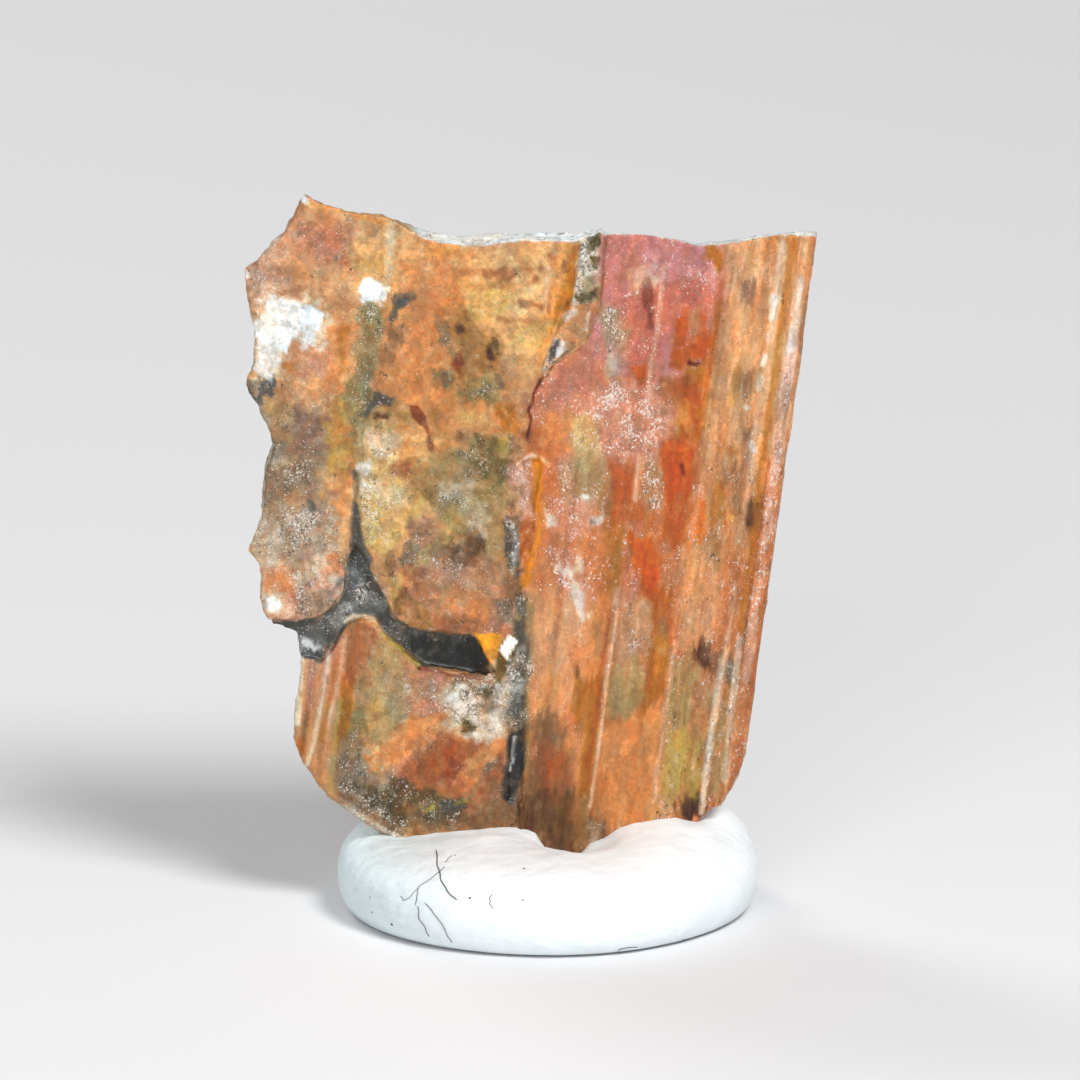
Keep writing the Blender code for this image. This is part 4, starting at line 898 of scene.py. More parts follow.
# Cloudy changes inside every mark: colour, sign of the noise, strength, its size on plain, striated faces.
CLOUDS = (
    ("brown", 1, 0.30, (0.50, 0.50, 0.80), (0.30, 0.30, 3.00)),
    ("amber", -1, 0.22, (0.50, 0.50, 0.80), (0.30, 0.30, 3.00)),
    ("olive", 1, 0.26, (0.24, 0.24, 0.34), (0.16, 0.16, 1.20)),
    ("orange", -1, 0.22, (0.24, 0.24, 0.34), (0.16, 0.16, 1.20)),
    ("red brown", 1, 0.26, (0.13, 0.13, 0.16), (0.10, 0.10, 0.40)),
    ("cream", -1, 0.20, (0.13, 0.13, 0.16), (0.10, 0.10, 0.40)),
)
CLOUD_ON_GREY = 0.12  # the share of those changes that greys, whites and blacks take
MIDDLE = 152  # the value that contrast turns about
CONTRAST = 1.22
CONTRASTED = (8, 262)
BRIGHTEST = 285

# The faces that the photo doesn't show: red, green, blue, flecks, pits.
BACK_BROWN = np.array((186, 130, 88, 0.35, 0.3))
BACK_AMBER = np.array((226, 160, 98, 0.2, 0.12))
BACK_DARK = np.array((138, 112, 80, 0.4, 0.6))
BACK_PALE = np.array((226, 196, 168, 0.9, 0.4))
SIDE_PALE = np.array((222, 196, 166, 0.8, 0.4))
# The top's white is partly the frosted colour of the broken edge and partly painted light on the faces that
# turn up.
TOP_WHITE_AND_LIGHT = np.array((255, 252, 246, 0.6, 0.5))
SEEN_THROUGH = 0.62  # how much of the front's colour the back has
SIDE_PALENESS = 0.5

# Patches of the back: colour, strength, noise size in mm, seed, the noise where they start, where in full.
AMBER_PATCHES = (BACK_AMBER, 1.0, (0.9, 0.9, 1.3), 91, -0.7, 0.8)
PALE_PATCHES = (BACK_PALE, 0.75, (0.7, 0.7, 0.9), 95, 0.25, 0.65)
DARK_PATCHES = (BACK_DARK, 0.6, (0.8, 0.8, 1.1), 97, 0.3, 0.7)

# Where a face counts as front or back, and as top: from this share of its normal, in full from that one.
FACING = (0.35, 0.75)
FACING_UP = (0.3, 0.7)
TOP_FROM = (14.6, 14.9)  # where the white top edge starts, up the stone and across it, mm
TOP_ACROSS = (-5.0, -4.4)
SIDE_FROM = FRONT + 0.14  # how far back a side's own colour starts, mm
RECESS_BACK = 0.2  # how far back the recess keeps its marks, mm
RECESS_MARGIN = 2  # pixels

# Heights of the fine relief, in mm.
STRIATION_HEIGHT = 0.012
TERRACE_HEIGHT = 0.012
GRAIN_HEIGHT = 0.004
CRUST_HEIGHT = 0.034
BROKEN_HEIGHT = 0.030


def striation(points):
    """Fine relief that runs along the stone, from about -1 to 1."""
    broad = noise(points, (0.30, 3.0, 7.0), 71)
    fine = noise(points, (0.13, 3.0, 4.0), 72)
    finest = noise(points, (0.07, 3.0, 2.2), 73)
    return (broad + 0.6 * fine + 0.3 * finest) / 1.4


def terraces(points):
    """The back's low steps, drawn out along the stone: 0, 1 or 2."""
    steps = noise(points, (0.55, 3.0, 9.0), 75) + 0.25 * noise(points, (0.25, 3.0, 1.2), 76)
    return ramp(steps, -0.34, -0.18) + ramp(steps, 0.10, 0.26)


def striation_strength(places, back):
    """How strongly each place is striated, from 0 to 1."""
    striated = np.zeros(len(places))
    for strength, outline in STRIATED:
        striated = np.maximum(striated, strength * ramp(depth_inside(places, outline), -3, 3))
    return striated + back * (BACK_STREAKS - striated)


def mottled(state, points, striated):
    """The marks with cloudy changes inside them."""
    state = state.copy()
    coloured = np.ptp(state[:, :3], axis=1) > DULL
    for number, (colour, sign, strength, size, streak_size) in enumerate(CLOUDS):
        seed = 141 + 10 * (number // 2)
        plain, streaked = (fractal(points, lengths, seed, 2) for lengths in (size, streak_size))
        cloud = plain * (1 - striated) + streaked * striated
        share = strength * ramp(sign * cloud, 0.15, 0.95) * np.where(coloured, 1.0, CLOUD_ON_GREY)
        blend(state, np.arange(len(state)), colour, share)
    return state


def contrasted(state):
    """The marks with their values driven apart."""
    value = state[:, :3].mean(1)
    state[:, :3] *= (np.clip(MIDDLE + CONTRAST * (value - MIDDLE), *CONTRASTED) / value)[:, None]
    return state


def patched(state, points, patches):
    colour, strength, size, seed, low, high = patches
    share = strength * ramp(fractal(points, size, seed, 4), low, high)
    return state + share[:, None] * (colour - state)


def back_state(points, world, wobble, warp):
    """Colours, flecks and pits of the back, where the front's marks show through loosely."""
    through = world.copy()
    through[:, 1] = FRONT
    seen = paint(picture_place(through), wobble, warp, loose=2.0)
    state = patched(BACK_BROWN, points, AMBER_PATCHES)
    state += SEEN_THROUGH * (seen - state)
    for patches in (PALE_PATCHES, DARK_PATCHES):
        state = patched(state, points, patches)
    return state


def crystal_surface(points, normals, world):
    """Colours, flecks, pits, streakiness and relief of each point. Points and relief are in mm."""
    places = picture_place(world)
    front = ramp(-normals[:, 1], *FACING)
    back = ramp(normals[:, 1], *FACING)
    broken = (1 - front) * (1 - back)
    top = ramp(normals[:, 2], *FACING_UP) * ramp(points[:, 2], *TOP_FROM) * ramp(points[:, 0], *TOP_ACROSS)
    striated = striation_strength(places, back)
    wobble = wobbles(points, striated)
    warp = warps(points, striated)

    painted = contrasted(mottled(paint(places, wobble, warp), points, striated))
    side = painted + SIDE_PALENESS * (SIDE_PALE - painted)
    # Faces turned up at the top edge are whitened: partly their frosted colour, partly painted light.
    side += top[:, None] * (TOP_WHITE_AND_LIGHT - side)
    rim = broken * np.maximum(points[:, 1] > SIDE_FROM, top)
    recess = depth_inside(places, RECESS_OUTLINE) > -RECESS_MARGIN
    rim[recess & (points[:, 1] < RECESS_BACK)] = 0
    state = painted + rim[:, None] * (side - painted)
    state += back[:, None] * (back_state(points, world, wobble, warp) - state)

    steps = terraces(points)
    streaks = striation(points)
    grain = fractal(points, (0.09, 0.09, 0.13), 101, 3)
    tone = 1 + 0.075 * streaks * (0.35 * (1 - 0.6 * back) + 0.65 * striated)
    tone += 0.025 * (steps - 1) * back + 0.06 * grain * (0.5 + state[:, 3])
    warmth = 0.03 * fractal(points, (0.35, 0.35, 0.8), 111, 3)
    rgb = state[:, :3] * tone[:, None] * np.stack([1 + warmth, 1 - 0.4 * warmth, 1 - 2.2 * warmth], axis=1)

    crusty = state[:, 3] * state[:, 4]
    relief = STRIATION_HEIGHT * streaks * np.maximum(striated, 0.15 * back) + GRAIN_HEIGHT * grain
    relief += TERRACE_HEIGHT * back * (steps - 2)
    relief += CRUST_HEIGHT * crusty * fractal(points, 0.13, 121, 3)
    relief += BROKEN_HEIGHT * broken * fractal(points, 0.2, 131, 3)
    return np.clip(rgb, 0, BRIGHTEST), state[:, 3], state[:, 4], striated, relief


def make_crystal():
    to_own = Matrix.Rotation(-LEAN, 4, "Y")
    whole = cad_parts["brookite_crystal"].data.copy()
    whole.transform(Matrix.Scale(1 / MM, 4) @ to_own)
    shape = bmesh.new()
    shape.from_mesh(whole)
    bmesh.ops.remove_doubles(shape, verts=shape.verts, dist=1e-4)
    shape.to_mesh(whole)
    shape.free()
    mesh = remeshed(whole, FINE_EDGE, MOST_TRIANGLES)
    mesh.transform(Matrix.Scale(MM, 4))

    turn = np.array(Matrix.Rotation(LEAN, 3, "Y"))
    points = points_of(mesh)
    normals = normals_of(mesh)
    rgb, flecks, pits, streaky, relief = crystal_surface(points / MM, normals, points @ turn.T / MM)
    moved = points + normals * (relief * MM)[:, None]
    put_points(mesh, keep_inside(moved @ turn.T, "brookite_crystal"))
    put_colour(mesh, "tint", body_colour(rgb))
    put_value(mesh, "flecks", flecks)
    put_value(mesh, "pits", pits)
    put_value(mesh, "streaky", streaky)
    mesh.shade_smooth()
    mesh.set_sharp_from_angle(angle=SHARP)
    mesh.materials.clear()
    mesh.materials.append(crystal_material())

    crystal = bpy.data.objects.new("crystal_surface", mesh)
    bpy.context.scene.collection.objects.link(crystal)
    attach(crystal, "root")
    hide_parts("brookite_crystal")


# ------------------------------------------------------------------------------------------------------------
# Materials
# ------------------------------------------------------------------------------------------------------------

# Shader colours, linear.
WARMER = (1.09, 0.93, 0.78, 1.0)
COOLER = (0.92, 1.04, 1.08, 1.0)
PIT = (0.040, 0.023, 0.012, 1.0)
# The white of the flecks, also given to the painted glints.
FROST_AND_GLINT = (0.83, 0.76, 0.69, 1.0)
PUTTY_WHITE = (0.91, 0.93, 0.94, 1.0)
PUTTY_CLOUDED = (0.86, 0.90, 0.92, 1.0)
PUTTY_SHADED = (0.66, 0.79, 0.82, 1.0)
# Painted shade in the putty's creases.
PUTTY_CREASE_SHADE = (0.55, 0.68, 0.68, 1.0)
# Painted shade: the putty darker towards its foot.
PUTTY_FOOT_SHADE = (0.66, 0.74, 0.78, 1.0)
LINT = (0.13, 0.13, 0.135)
FLOOR = (0.80, 0.80, 0.81, 1.0)

BROOKITE_IOR = 1.7
BROOKITE_SPECULAR = 0.20
PUTTY_IOR = 1.46
LINT_ROUGHNESS = 0.8
FLOOR_ROUGHNESS = 0.7


class Nodes:
    """A material's node tree, with a short way to add nodes and join them."""

    def __init__(self, name, lean=0.0):
        self.lean = lean
        self.material = bpy.data.materials.new(name)
        self.material.use_nodes = True
        self.tree = self.material.node_tree
        self.shader = self.tree.nodes["Principled BSDF"]

    def add(self, kind, settings=(), **inputs):
        node = self.tree.nodes.new(kind)
        for name, value in settings:
            setattr(node, name, value)
        for name, value in inputs.items():
            self.set(node, name, value)
        return node

    def set(self, node, name, value):
        """Set or link an input, by its name or by its number after an underscore."""
        socket = node.inputs[int(name[1:])] if name[0] == "_" else node.inputs[name]
        if isinstance(value, bpy.types.NodeSocket):
            self.tree.links.new(value, socket)
        else:
            socket.default_value = value

    def scaled(self, vector, sides):
        node = self.add("ShaderNodeVectorMath", [("operation", "MULTIPLY")], _0=vector, _1=sides)
        return node.outputs[0]

    def attribute(self, name, output):
        return self.add("ShaderNodeAttribute", [("attribute_name", name)]).outputs[output]

    def in_mm(self, stretch=(1.0, 1.0, 1.0)):
        """Object coordinates in millimetres, turned upright when the piece leans."""
        place = self.add("ShaderNodeTexCoord").outputs["Object"]
        if self.lean:
            upright = [("rotation_type", "Y_AXIS")]
            place = self.add("ShaderNodeVectorRotate", upright, Vector=place, Angle=-self.lean).outputs[0]
        return self.scaled(place, [side / MM for side in stretch])

    def noise(self, place, scale, detail=2.0, roughness=0.6, output="Fac"):
        node = self.add("ShaderNodeTexNoise", Vector=place, Scale=scale, Detail=detail, Roughness=roughness)
        return node.outputs[output]

    def math(self, operation, first, second, clamp=False):
        settings = [("operation", operation), ("use_clamp", clamp)]
        return self.add("ShaderNodeMath", settings, _0=first, _1=second).outputs[0]

    def plus(self, first, *others, clamp=False):
        for other in others:
            first = self.math("ADD", first, other, clamp)
        return first

    def minus(self, first, second):
        return self.math("SUBTRACT", first, second)

    def times(self, first, *others):
        for other in others:
            first = self.math("MULTIPLY", first, other)
        return first

    def spread(self, value, low, high, to_low=0.0, to_high=1.0):
        """The range from low to high laid over another one, and held within it."""
        node = self.add("ShaderNodeMapRange", _0=value, _1=low, _2=high, _3=to_low, _4=to_high)
        return node.outputs[0]

    def mix(self, share, first, second, how="MIX"):
        settings = [("data_type", "RGBA"), ("blend_type", how)]
        return self.add("ShaderNodeMix", settings, _0=share, _6=first, _7=second).outputs[2]

    def between(self, share, first, second):
        return self.add("ShaderNodeMix", [("data_type", "FLOAT")], _0=share, _2=first, _3=second).outputs[0]

    def bump(self, strength, millimetres, height):
        node = self.add("ShaderNodeBump", Strength=strength, Distance=millimetres * MM, Height=height)
        self.set(self.shader, "Normal", node.outputs[0])


def crystal_material():
    m = Nodes("Brookite", LEAN)
    place = m.in_mm()
    drawn_out = m.in_mm((1.0, 1.0, 0.30))
    part_drawn = m.in_mm((1.0, 1.0, 0.55))
    tint = m.attribute("tint", "Color")
    flecks = m.attribute("flecks", "Fac")
    pits = m.attribute("pits", "Fac")
    streaky = m.attribute("streaky", "Fac")

    def texture(scale, detail, roughness, drawn=drawn_out):
        """Noise that is even on the plain faces and drawn out along the stone on the striated ones."""
        even, along = (m.noise(where, scale, detail, roughness) for where in (place, drawn))
        return m.between(streaky, even, along)

    cloud = texture(2.9, 5.0, 0.66)
    hue = texture(4.6, 4.0, 0.62)
    fine_hue = texture(9.0, 3.0, 0.6)
    grain = m.noise(place, 13.0, 3.0, 0.68)
    lines = m.noise(m.in_mm((9.0, 9.0, 0.40)), 1.0, 3.0, 0.62)
    threads = m.noise(m.in_mm((26.0, 26.0, 1.4)), 1.0, 2.0, 0.6)
    streaks = m.plus(m.times(m.minus(lines, 0.5), 0.40), m.times(m.minus(threads, 0.5), 0.22))
    streaks = m.times(streaks, m.spread(streaky, 0.0, 1.0, 0.15, 1.0))
    bend = m.scaled(m.noise(place, 7.0, output="Color", roughness=0.5), (0.22, 0.22, 0.22))

    def patchwork(scale, low, high):
        """Ragged patches, each of one tone."""
        tones = []
        for where in (place, drawn_out):
            bent = m.add("ShaderNodeVectorMath", _0=where, _1=bend).outputs[0]
            colour = m.add("ShaderNodeTexVoronoi", Vector=bent, Scale=scale).outputs["Color"]
            tones.append(m.add("ShaderNodeSeparateColor", _0=colour).outputs[0])
        return m.spread(m.between(streaky, *tones), 0.0, 1.0, low, high)

    tone = m.times(m.spread(cloud, 0.33, 0.67, 0.84, 1.16), patchwork(4.5, 0.82, 1.18))
    tone = m.times(tone, patchwork(12.0, 0.88, 1.12), m.spread(grain, 0.30, 0.70, 0.86, 1.14))
    tone = m.times(tone, m.plus(streaks, 1.0))
    grey = m.add("ShaderNodeCombineColor", _0=tone, _1=tone, _2=tone).outputs[0]
    toned = m.mix(1.0, tint, grey, "MULTIPLY")
    warm = m.mix(1.0, toned, WARMER, "MULTIPLY")
    cool = m.mix(1.0, toned, COOLER, "MULTIPLY")
    shade = m.plus(m.times(hue, 0.5), m.times(fine_hue, 0.5))
    tinted = m.mix(m.spread(shade, 0.40, 0.60), cool, warm)
    saturation = m.add("ShaderNodeSeparateColor", [("mode", "HSV")], _0=tint).outputs[1]
    body = m.mix(m.spread(saturation, 0.15, 0.45), toned, tinted)

    def scattered(scale, detail, amount, rare, common, clustered=0.5):
        """Ragged spots in loose clusters: more of them where amount is higher."""
        spots = m.plus(texture(scale, detail, 0.80, part_drawn), m.times(m.noise(place, 2.1, 3.0), clustered))
        edge = m.spread(amount, 0.0, 1.0, rare, common)
        return m.spread(m.minus(spots, edge), 0.0, 0.05)

    dark = scattered(8.0, 3.0, pits, 0.96, 0.74)
    frost = scattered(18.0, 4.0, flecks, 0.90, 0.665, 0.38)
    # Glints are painted highlights: sparse white dots in the base colour where flecks lie thick.
    sparkle = m.plus(m.noise(place, 21.0), m.times(m.noise(place, 2.6), 0.5))
    painted_glints = m.times(m.spread(sparkle, 0.92, 0.97), m.spread(flecks, 0.15, 0.6))
    white = m.math("MAXIMUM", m.times(frost, 0.72), painted_glints, clamp=True)
    body = m.mix(m.times(dark, 0.78), body, PIT)
    body = m.mix(m.times(white, 0.9), body, FROST_AND_GLINT)

    m.set(m.shader, "Base Color", body)
    rough = m.plus(m.spread(grain, 0.3, 0.7, 0.44, 0.30), m.times(white, 0.2), clamp=True)
    m.set(m.shader, "Roughness", rough)
    m.set(m.shader, "IOR", BROOKITE_IOR)
    m.set(m.shader, "Specular IOR Level", BROOKITE_SPECULAR)
    m.bump(0.6, 0.018, m.plus(m.times(cloud, 1.2), m.times(grain, 0.5), m.times(streaks, 0.8),
                              m.times(m.minus(white, dark), 0.35)))
    return m.material


def putty_material():
    m = Nodes("Mounting putty")
    place = m.in_mm()
    across, _, height = m.add("ShaderNodeSeparateXYZ", _0=place).outputs
    shade = m.spread(m.plus(across, m.times(m.noise(place, 0.7), 1.6)), -3.9, -0.6)
    cloud = m.noise(place, 1.3, 4.0)
    white = m.mix(m.spread(cloud, 0.35, 0.65), PUTTY_CLOUDED, PUTTY_WHITE)
    folds = m.noise(m.in_mm((1.0, 1.0, 3.2)), 1.6, 4.0, 0.65)
    # Painted shade in the creases on the left side.
    crease = m.times(m.spread(folds, 0.47, 0.40), m.spread(across, -1.2, -3.8, 0.08, 0.5))
    body = m.mix(shade, PUTTY_SHADED, white)
    body = m.mix(crease, body, PUTTY_CREASE_SHADE)
    # Painted shade: darker towards the foot.
    body = m.mix(m.spread(height, 1.7, 0.1, 0.0, 0.6), body, PUTTY_FOOT_SHADE)
    m.set(m.shader, "Base Color", body)
    m.set(m.shader, "Roughness", m.spread(cloud, 0.3, 0.7, 0.46, 0.62))
    m.set(m.shader, "Subsurface Weight", 0.18)
    m.set(m.shader, "Subsurface Radius", (0.6, 0.6, 0.65))
    m.set(m.shader, "Subsurface Scale", 0.6 * MM)
    m.set(m.shader, "IOR", PUTTY_IOR)
    m.bump(0.5, 0.065, m.plus(m.noise(place, 3.0, 4.0), m.times(m.noise(place, 16.0, 3.0), 0.22)))
    return m.material


def lint_material():
    m = Nodes("Lint")
    darker = tuple(0.6 * part for part in LINT)
    m.set(m.shader, "Base Color", m.mix(m.noise(m.in_mm(), 30.0, 3.0), (*darker, 1.0), (*LINT, 1.0)))
    m.set(m.shader, "Roughness", LINT_ROUGHNESS)
    return m.material


def floor_material():
    m = Nodes("Floor")
    m.set(m.shader, "Base Color", FLOOR)
    m.set(m.shader, "Roughness", FLOOR_ROUGHNESS)
    return m.material


# ------------------------------------------------------------------------------------------------------------
# The putty and what sticks to it
# ------------------------------------------------------------------------------------------------------------

# The pad, as in the CAD model, in mm.
PAD_CENTRE = 0.40
PAD_WIDTH = 9.55
PAD_DEPTH = 9.95
PAD_STEPS = 60
# Its outline from the middle of the underside to the middle of the top: share of the radius, height.
PAD_PROFILE = (
    (0.00, 0.00), (0.45, 0.00), (0.89, 0.00), (0.94, 0.06), (0.97, 0.20), (0.992, 0.46), (1.00, 0.78),
    (0.992, 1.06), (0.968, 1.30), (0.925, 1.52), (0.86, 1.70), (0.76, 1.83), (0.62, 1.90), (0.45, 1.94),
    (0.28, 1.95), (0.12, 1.95), (0.00, 1.95),
)
# Waves of its outline: size as a share of the radius, times around, turn.
PAD_WAVES = ((0.012, 2, 0.6), (0.008, 3, -1.1), (0.005, 5, 0.0))
# Lumps and hollows of its top: place across, place towards the back, radius, height.
PAD_LUMPS = (
    (0.62, -0.90, 0.80, -0.72), (0.20, -0.60, 0.55, -0.20), (2.70, -0.90, 1.30, 0.16),
    (-0.90, -0.90, 0.90, 0.05), (-3.30, -0.80, 1.10, -0.10), (3.95, 1.00, 1.10, 0.46),
    (2.20, 2.10, 1.50, 0.12), (-2.40, 2.00, 1.60, 0.10), (-0.40, 3.10, 1.20, -0.10),
    (-3.00, -2.60, 1.20, -0.08), (1.30, -3.10, 1.40, -0.06),
)
# Where the putty's edge meets the stone's front, in picture columns and rows.
LIP = (
    (395, 839), (420, 836), (460, 833), (490, 830), (518, 829), (535, 835), (545, 848), (560, 851),
    (572, 853), (577, 857), (590, 846), (605, 840), (620, 830), (632, 825), (655, 821), (675, 820),
    (703, 824),
)
SMOOTHING = 3
# Dents of the hand on it: height in mm, noise size in mm, seed, octaves.
DENTS = ((0.035, 1.1, 201, 2), (0.012, 0.3, 211, 3))

# Lint: radius in mm and the line in picture columns and rows.
FIBRES = (
    (0.018, ((436, 850), (438, 865), (441, 878), (447, 890), (457, 899))),
    (0.012, ((445, 866), (432, 878), (420, 885), (415, 905))),
    (0.010, ((400, 895), (405, 900), (412, 895), (420, 885))),
    (0.014, ((418, 905), (420, 918), (427, 930), (429, 936))),
    (0.013, ((425, 902), (437, 915), (447, 932), (452, 942))),
    (0.010, ((452, 855), (449, 858), (445, 862))),
    (0.011, ((492, 893), (490, 897), (490, 902), (493, 908))),
    (0.013, ((615, 955), (620, 948), (628, 946), (637, 946))),
)
FIBRE_THINNESS = 0.72
FIBRE_LIFT = 0.7  # how far a fibre's middle lies off the putty, in radii
FIBRE_SIDES = 6
FIBRE_TIP = 0.35
# Specks: picture column and row, radius in mm.
SPECKS = (
    (392, 924, 0.045), (470, 897, 0.035), (524, 868, 0.034), (506, 953, 0.045), (657, 947, 0.034),
    (372, 912, 0.028), (683, 939, 0.028), (523, 899, 0.026), (455, 855, 0.022), (370, 897, 0.024),
)
SPECK_SHAPE = (1.0, 0.7, 0.5, 1.0)


def lipped(points):
    """Points of the putty in mm, with the edge against the stone's front raised or lowered to LIP."""
    line = np.array(LIP, float)
    lip_across = (line[:, 0] - CENTRE_COLUMN) * PIXEL
    lip_height = ((GROUND_ROW - line[:, 1]) * PIXEL - FRONT * math.sin(ELEVATION)) / math.cos(ELEVATION)
    wanted = np.interp(points[:, 0], lip_across, lip_height)
    share = ramp(points[:, 1], FRONT - 1.0, FRONT - 0.08) * (1 - ramp(points[:, 1], 0.0, 0.4))
    share *= ramp(points[:, 0], lip_across[0] - 0.3, lip_across[0] + 0.2)
    share *= 1 - ramp(points[:, 0], lip_across[-1] - 0.2, lip_across[-1] + 0.3)
    share *= ramp(points[:, 2], 0.9, 1.1)
    lifted = points.copy()
    lifted[:, 2] += share * (wanted - points[:, 2])
    return lifted


def pad_radius(angle):
    """The pad's slightly uneven outline, seen from above, as a share of its even radius."""
    return 1.0 + sum(size * math.cos(times * angle + turn) for size, times, turn in PAD_WAVES)


def pad_top(across, back):
    """How far the lumps and hollows raise the top here, in mm."""
    rise = 0.0
    for lump_across, lump_back, radius, height in PAD_LUMPS:
        away = math.hypot(across - lump_across, back - lump_back) / radius
        rise += height * math.exp(-away * away)
    return rise


def pad_mesh():
    """The pad as in the CAD model, without its slot, in metres."""
    shape = bmesh.new()
    profile = [shape.verts.new((share, 0.0, height)) for share, height in PAD_PROFILE]
    edges = [shape.edges.new(pair) for pair in zip(profile, profile[1:])]
    bmesh.ops.spin(shape, geom=profile + edges, cent=(0, 0, 0), axis=(0, 0, 1), dvec=(0, 0, 0),
                   angle=2 * math.pi, steps=PAD_STEPS, use_merge=True)
    bmesh.ops.remove_doubles(shape, verts=shape.verts, dist=1e-5)
    full_height = PAD_PROFILE[-1][1]
    for vertex in shape.verts:
        share = pad_radius(math.atan2(vertex.co.y, vertex.co.x))
        vertex.co.x *= share * PAD_WIDTH / 2
        vertex.co.y *= share * PAD_DEPTH / 2
        vertex.co.z *= 1 + pad_top(vertex.co.x, vertex.co.y) / full_height
    for axis, size, centre in ((0, PAD_WIDTH, PAD_CENTRE), (1, PAD_DEPTH, 0.0)):
        low = min(vertex.co[axis] for vertex in shape.verts)
        high = max(vertex.co[axis] for vertex in shape.verts)
        for vertex in shape.verts:
            vertex.co[axis] = centre + (vertex.co[axis] - (low + high) / 2) * size / (high - low)
    bmesh.ops.scale(shape, verts=shape.verts, vec=(MM, MM, MM))
    bmesh.ops.recalc_face_normals(shape, faces=shape.faces)
    mesh = bpy.data.meshes.new("putty_surface")
    shape.to_mesh(mesh)
    shape.free()
    return mesh


def make_putty():
    mesh = with_modifier(pad_mesh(), "SUBSURF", (("levels", SMOOTHING),))
    points = lipped(points_of(mesh) / MM) * MM
    put_points(mesh, points)
    above = ramp(points[:, 2] / MM, 0.05, 0.4)
    pressed = sum(height * fractal(points / MM, size, seed, octaves) for height, size, seed, octaves in DENTS)
    points += normals_of(mesh) * (pressed * above * MM)[:, None]
    put_points(mesh, keep_inside(points, "mounting_putty"))
    mesh.shade_smooth()
    mesh.materials.clear()
    mesh.materials.append(putty_material())

    putty = bpy.data.objects.new("putty_surface", mesh)
    bpy.context.scene.collection.objects.link(putty)
    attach(putty, "root")
    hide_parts("mounting_putty")
    return putty


def seen_on(tree, column, row):
    """The point of a surface that is seen at this column and row, and the surface's normal there."""
    look = Vector((0.0, math.cos(ELEVATION), -math.sin(ELEVATION)))
    up = Vector((0.0, math.sin(ELEVATION), math.cos(ELEVATION)))
    across = Vector(((column - CENTRE_COLUMN) * PIXEL * MM, 0.0, 0.0))
    start = across + up * ((GROUND_ROW - row) * PIXEL * MM) - look * 0.05
    place, normal, _, _ = tree.ray_cast(start, look)
    return place, normal


def tube(shape, centres, radius):
    """A closed tube along points that each have the surface's normal there."""
    rings = []
    last = len(centres) - 1
    for index, (place, normal) in enumerate(centres):
        along = (centres[min(index + 1, last)][0] - centres[max(index - 1, 0)][0]).normalized()
        aside = along.cross(normal).normalized()
        up = aside.cross(along)
        width = radius * (FIBRE_TIP if index in (0, last) else 1.0)
        ring = []
        for corner in range(FIBRE_SIDES):
            angle = 2 * math.pi * corner / FIBRE_SIDES
            ring.append(shape.verts.new(place + (aside * math.cos(angle) + up * math.sin(angle)) * width))
        rings.append(ring)
    shape.faces.new(rings[0])
    shape.faces.new(rings[-1])
    for ring, following in zip(rings, rings[1:]):
        for corner in range(FIBRE_SIDES):
            shape.faces.new((ring[corner - 1], ring[corner], following[corner], following[corner - 1]))


def add_fibre(shape, tree, radius, line):
    line = np.array(line, float)
    steps = np.linspace(0, len(line) - 1, 6 * len(line))
    columns = np.interp(steps, range(len(line)), line[:, 0]) + 0.6 * np.sin(steps * 5.0)
    rows = np.interp(steps, range(len(line)), line[:, 1])
    centres = []
    for column, row in zip(columns, rows):
        place, normal = seen_on(tree, column, row)
        if place is not None:
            centres.append((place + normal * radius * FIBRE_LIFT * MM, normal))
    tube(shape, centres, FIBRE_THINNESS * radius * MM)


def add_speck(shape, tree, column, row, radius):
    place, normal = seen_on(tree, column, row)
    if place is None:
        return
    ball = bmesh.ops.create_icosphere(shape, subdivisions=2, radius=radius * MM)
    lying = Matrix.Translation(place) @ normal.to_track_quat("Z", "Y").to_matrix().to_4x4()
    bmesh.ops.transform(shape, matrix=lying @ Matrix.Diagonal(SPECK_SHAPE), verts=ball["verts"])


def make_lint(putty):
    """Fibres and specks that lie on the putty's front."""
    shape = bmesh.new()
    surface = bmesh.new()
    surface.from_mesh(putty.data)
    tree = BVHTree.FromBMesh(surface)
    surface.free()
    for fibre in FIBRES:
        add_fibre(shape, tree, *fibre)
    for speck in SPECKS:
        add_speck(shape, tree, *speck)
    bmesh.ops.recalc_face_normals(shape, faces=shape.faces)
    mesh = bpy.data.meshes.new("lint")
    shape.to_mesh(mesh)
    shape.free()
    mesh.shade_smooth()
    mesh.materials.append(lint_material())

    lint = bpy.data.objects.new("lint", mesh)
    bpy.context.scene.collection.objects.link(lint)
    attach(lint, "root")


# ------------------------------------------------------------------------------------------------------------
# Floor, light and camera
# ------------------------------------------------------------------------------------------------------------

FLOOR_SIZE = 6.0
WORLD_STRENGTH = 0.27
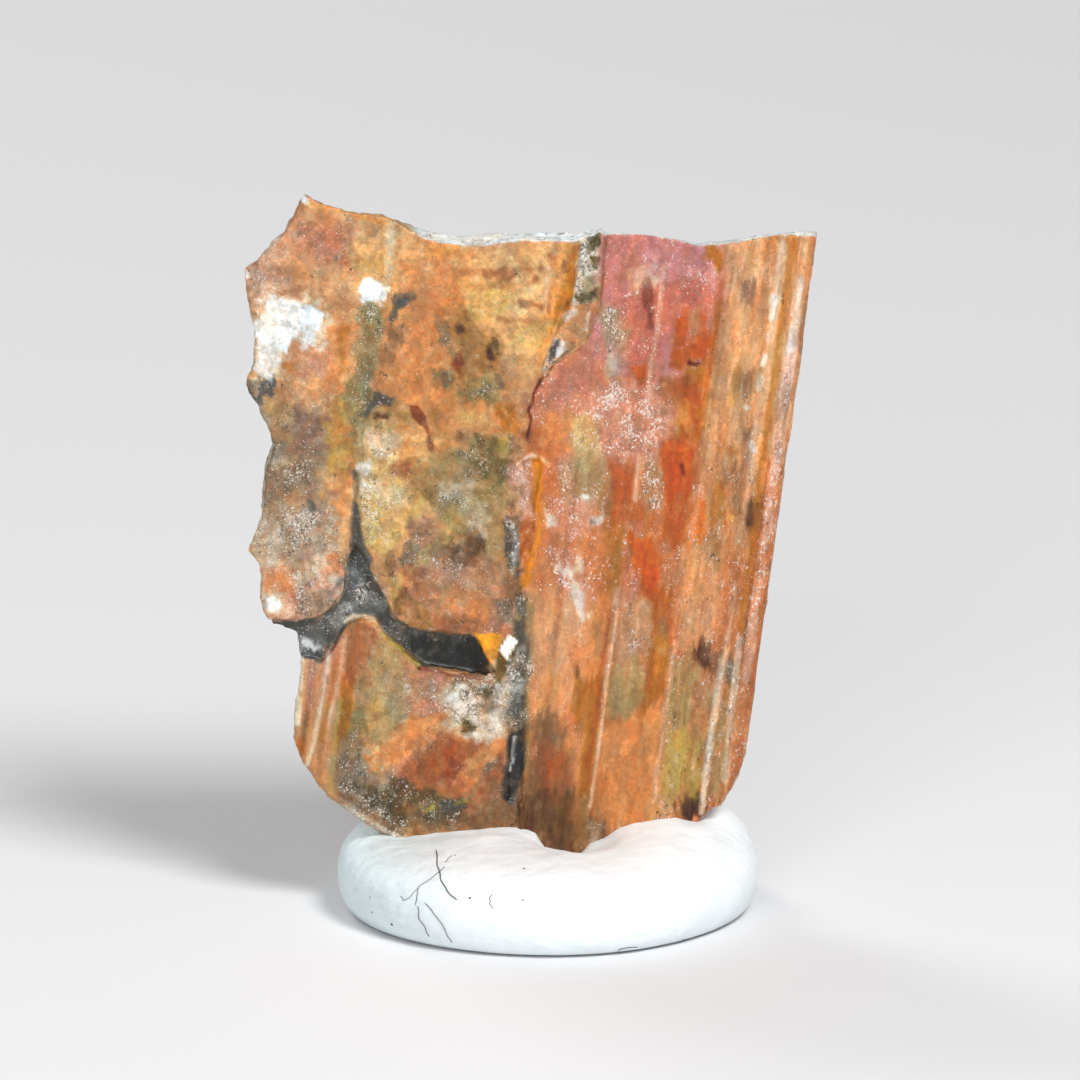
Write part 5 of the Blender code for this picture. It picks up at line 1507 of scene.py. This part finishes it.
# Lamps: name, place in metres, size in metres, power in watts.
LAMPS = (
    ("key", (0.10, -0.16, 0.20), 0.10, 0.60),
    ("front", (-0.06, -0.26, 0.10), 0.14, 0.27),
    ("back", (-0.14, 0.18, 0.16), 0.12, 0.22),
)
LAMP_AIM = Vector((0.0, 0.0, 0.008))


def make_floor():
    bpy.ops.mesh.primitive_plane_add(size=FLOOR_SIZE, location=(0.0, 0.0, 0.0))
    floor = bpy.context.active_object
    floor.name = "floor"
    floor.data.materials.append(floor_material())


def add_lamp(name, place, size, power):
    light = bpy.data.lights.new(name, "AREA")
    light.shape = "DISK"
    light.size = size
    light.energy = power
    lamp = bpy.data.objects.new(name, light)
    lamp.location = place
    lamp.rotation_euler = (LAMP_AIM - Vector(place)).to_track_quat("-Z", "Y").to_euler()
    bpy.context.scene.collection.objects.link(lamp)


def make_lights():
    world = bpy.data.worlds.new("Studio")
    world.use_nodes = True
    background = world.node_tree.nodes["Background"].inputs
    background["Color"].default_value = (1.0, 1.0, 1.0, 1.0)
    background["Strength"].default_value = WORLD_STRENGTH
    bpy.context.scene.world = world
    for lamp in LAMPS:
        add_lamp(*lamp)
    bpy.context.scene.view_settings.view_transform = "Standard"


def make_camera():
    middle = PICTURE / 2
    rise = (GROUND_ROW - middle) * PIXEL / math.cos(ELEVATION)
    target = Vector(((middle - CENTRE_COLUMN) * PIXEL, 0.0, rise)) * MM
    away = Vector((0.0, -math.cos(ELEVATION), math.sin(ELEVATION)))
    data = bpy.data.cameras.new("camera")
    data.sensor_width = SENSOR
    data.lens = SENSOR * CAMERA_DISTANCE / (PICTURE * PIXEL * MM)
    data.clip_start = 0.05
    data.clip_end = 20.0
    camera = bpy.data.objects.new("camera", data)
    camera.location = target + away * CAMERA_DISTANCE
    camera.rotation_euler = (-away).to_track_quat("-Z", "Y").to_euler()
    bpy.context.scene.collection.objects.link(camera)
    bpy.context.scene.camera = camera


make_camera()
make_lights()
make_floor()
make_crystal()
make_lint(make_putty())
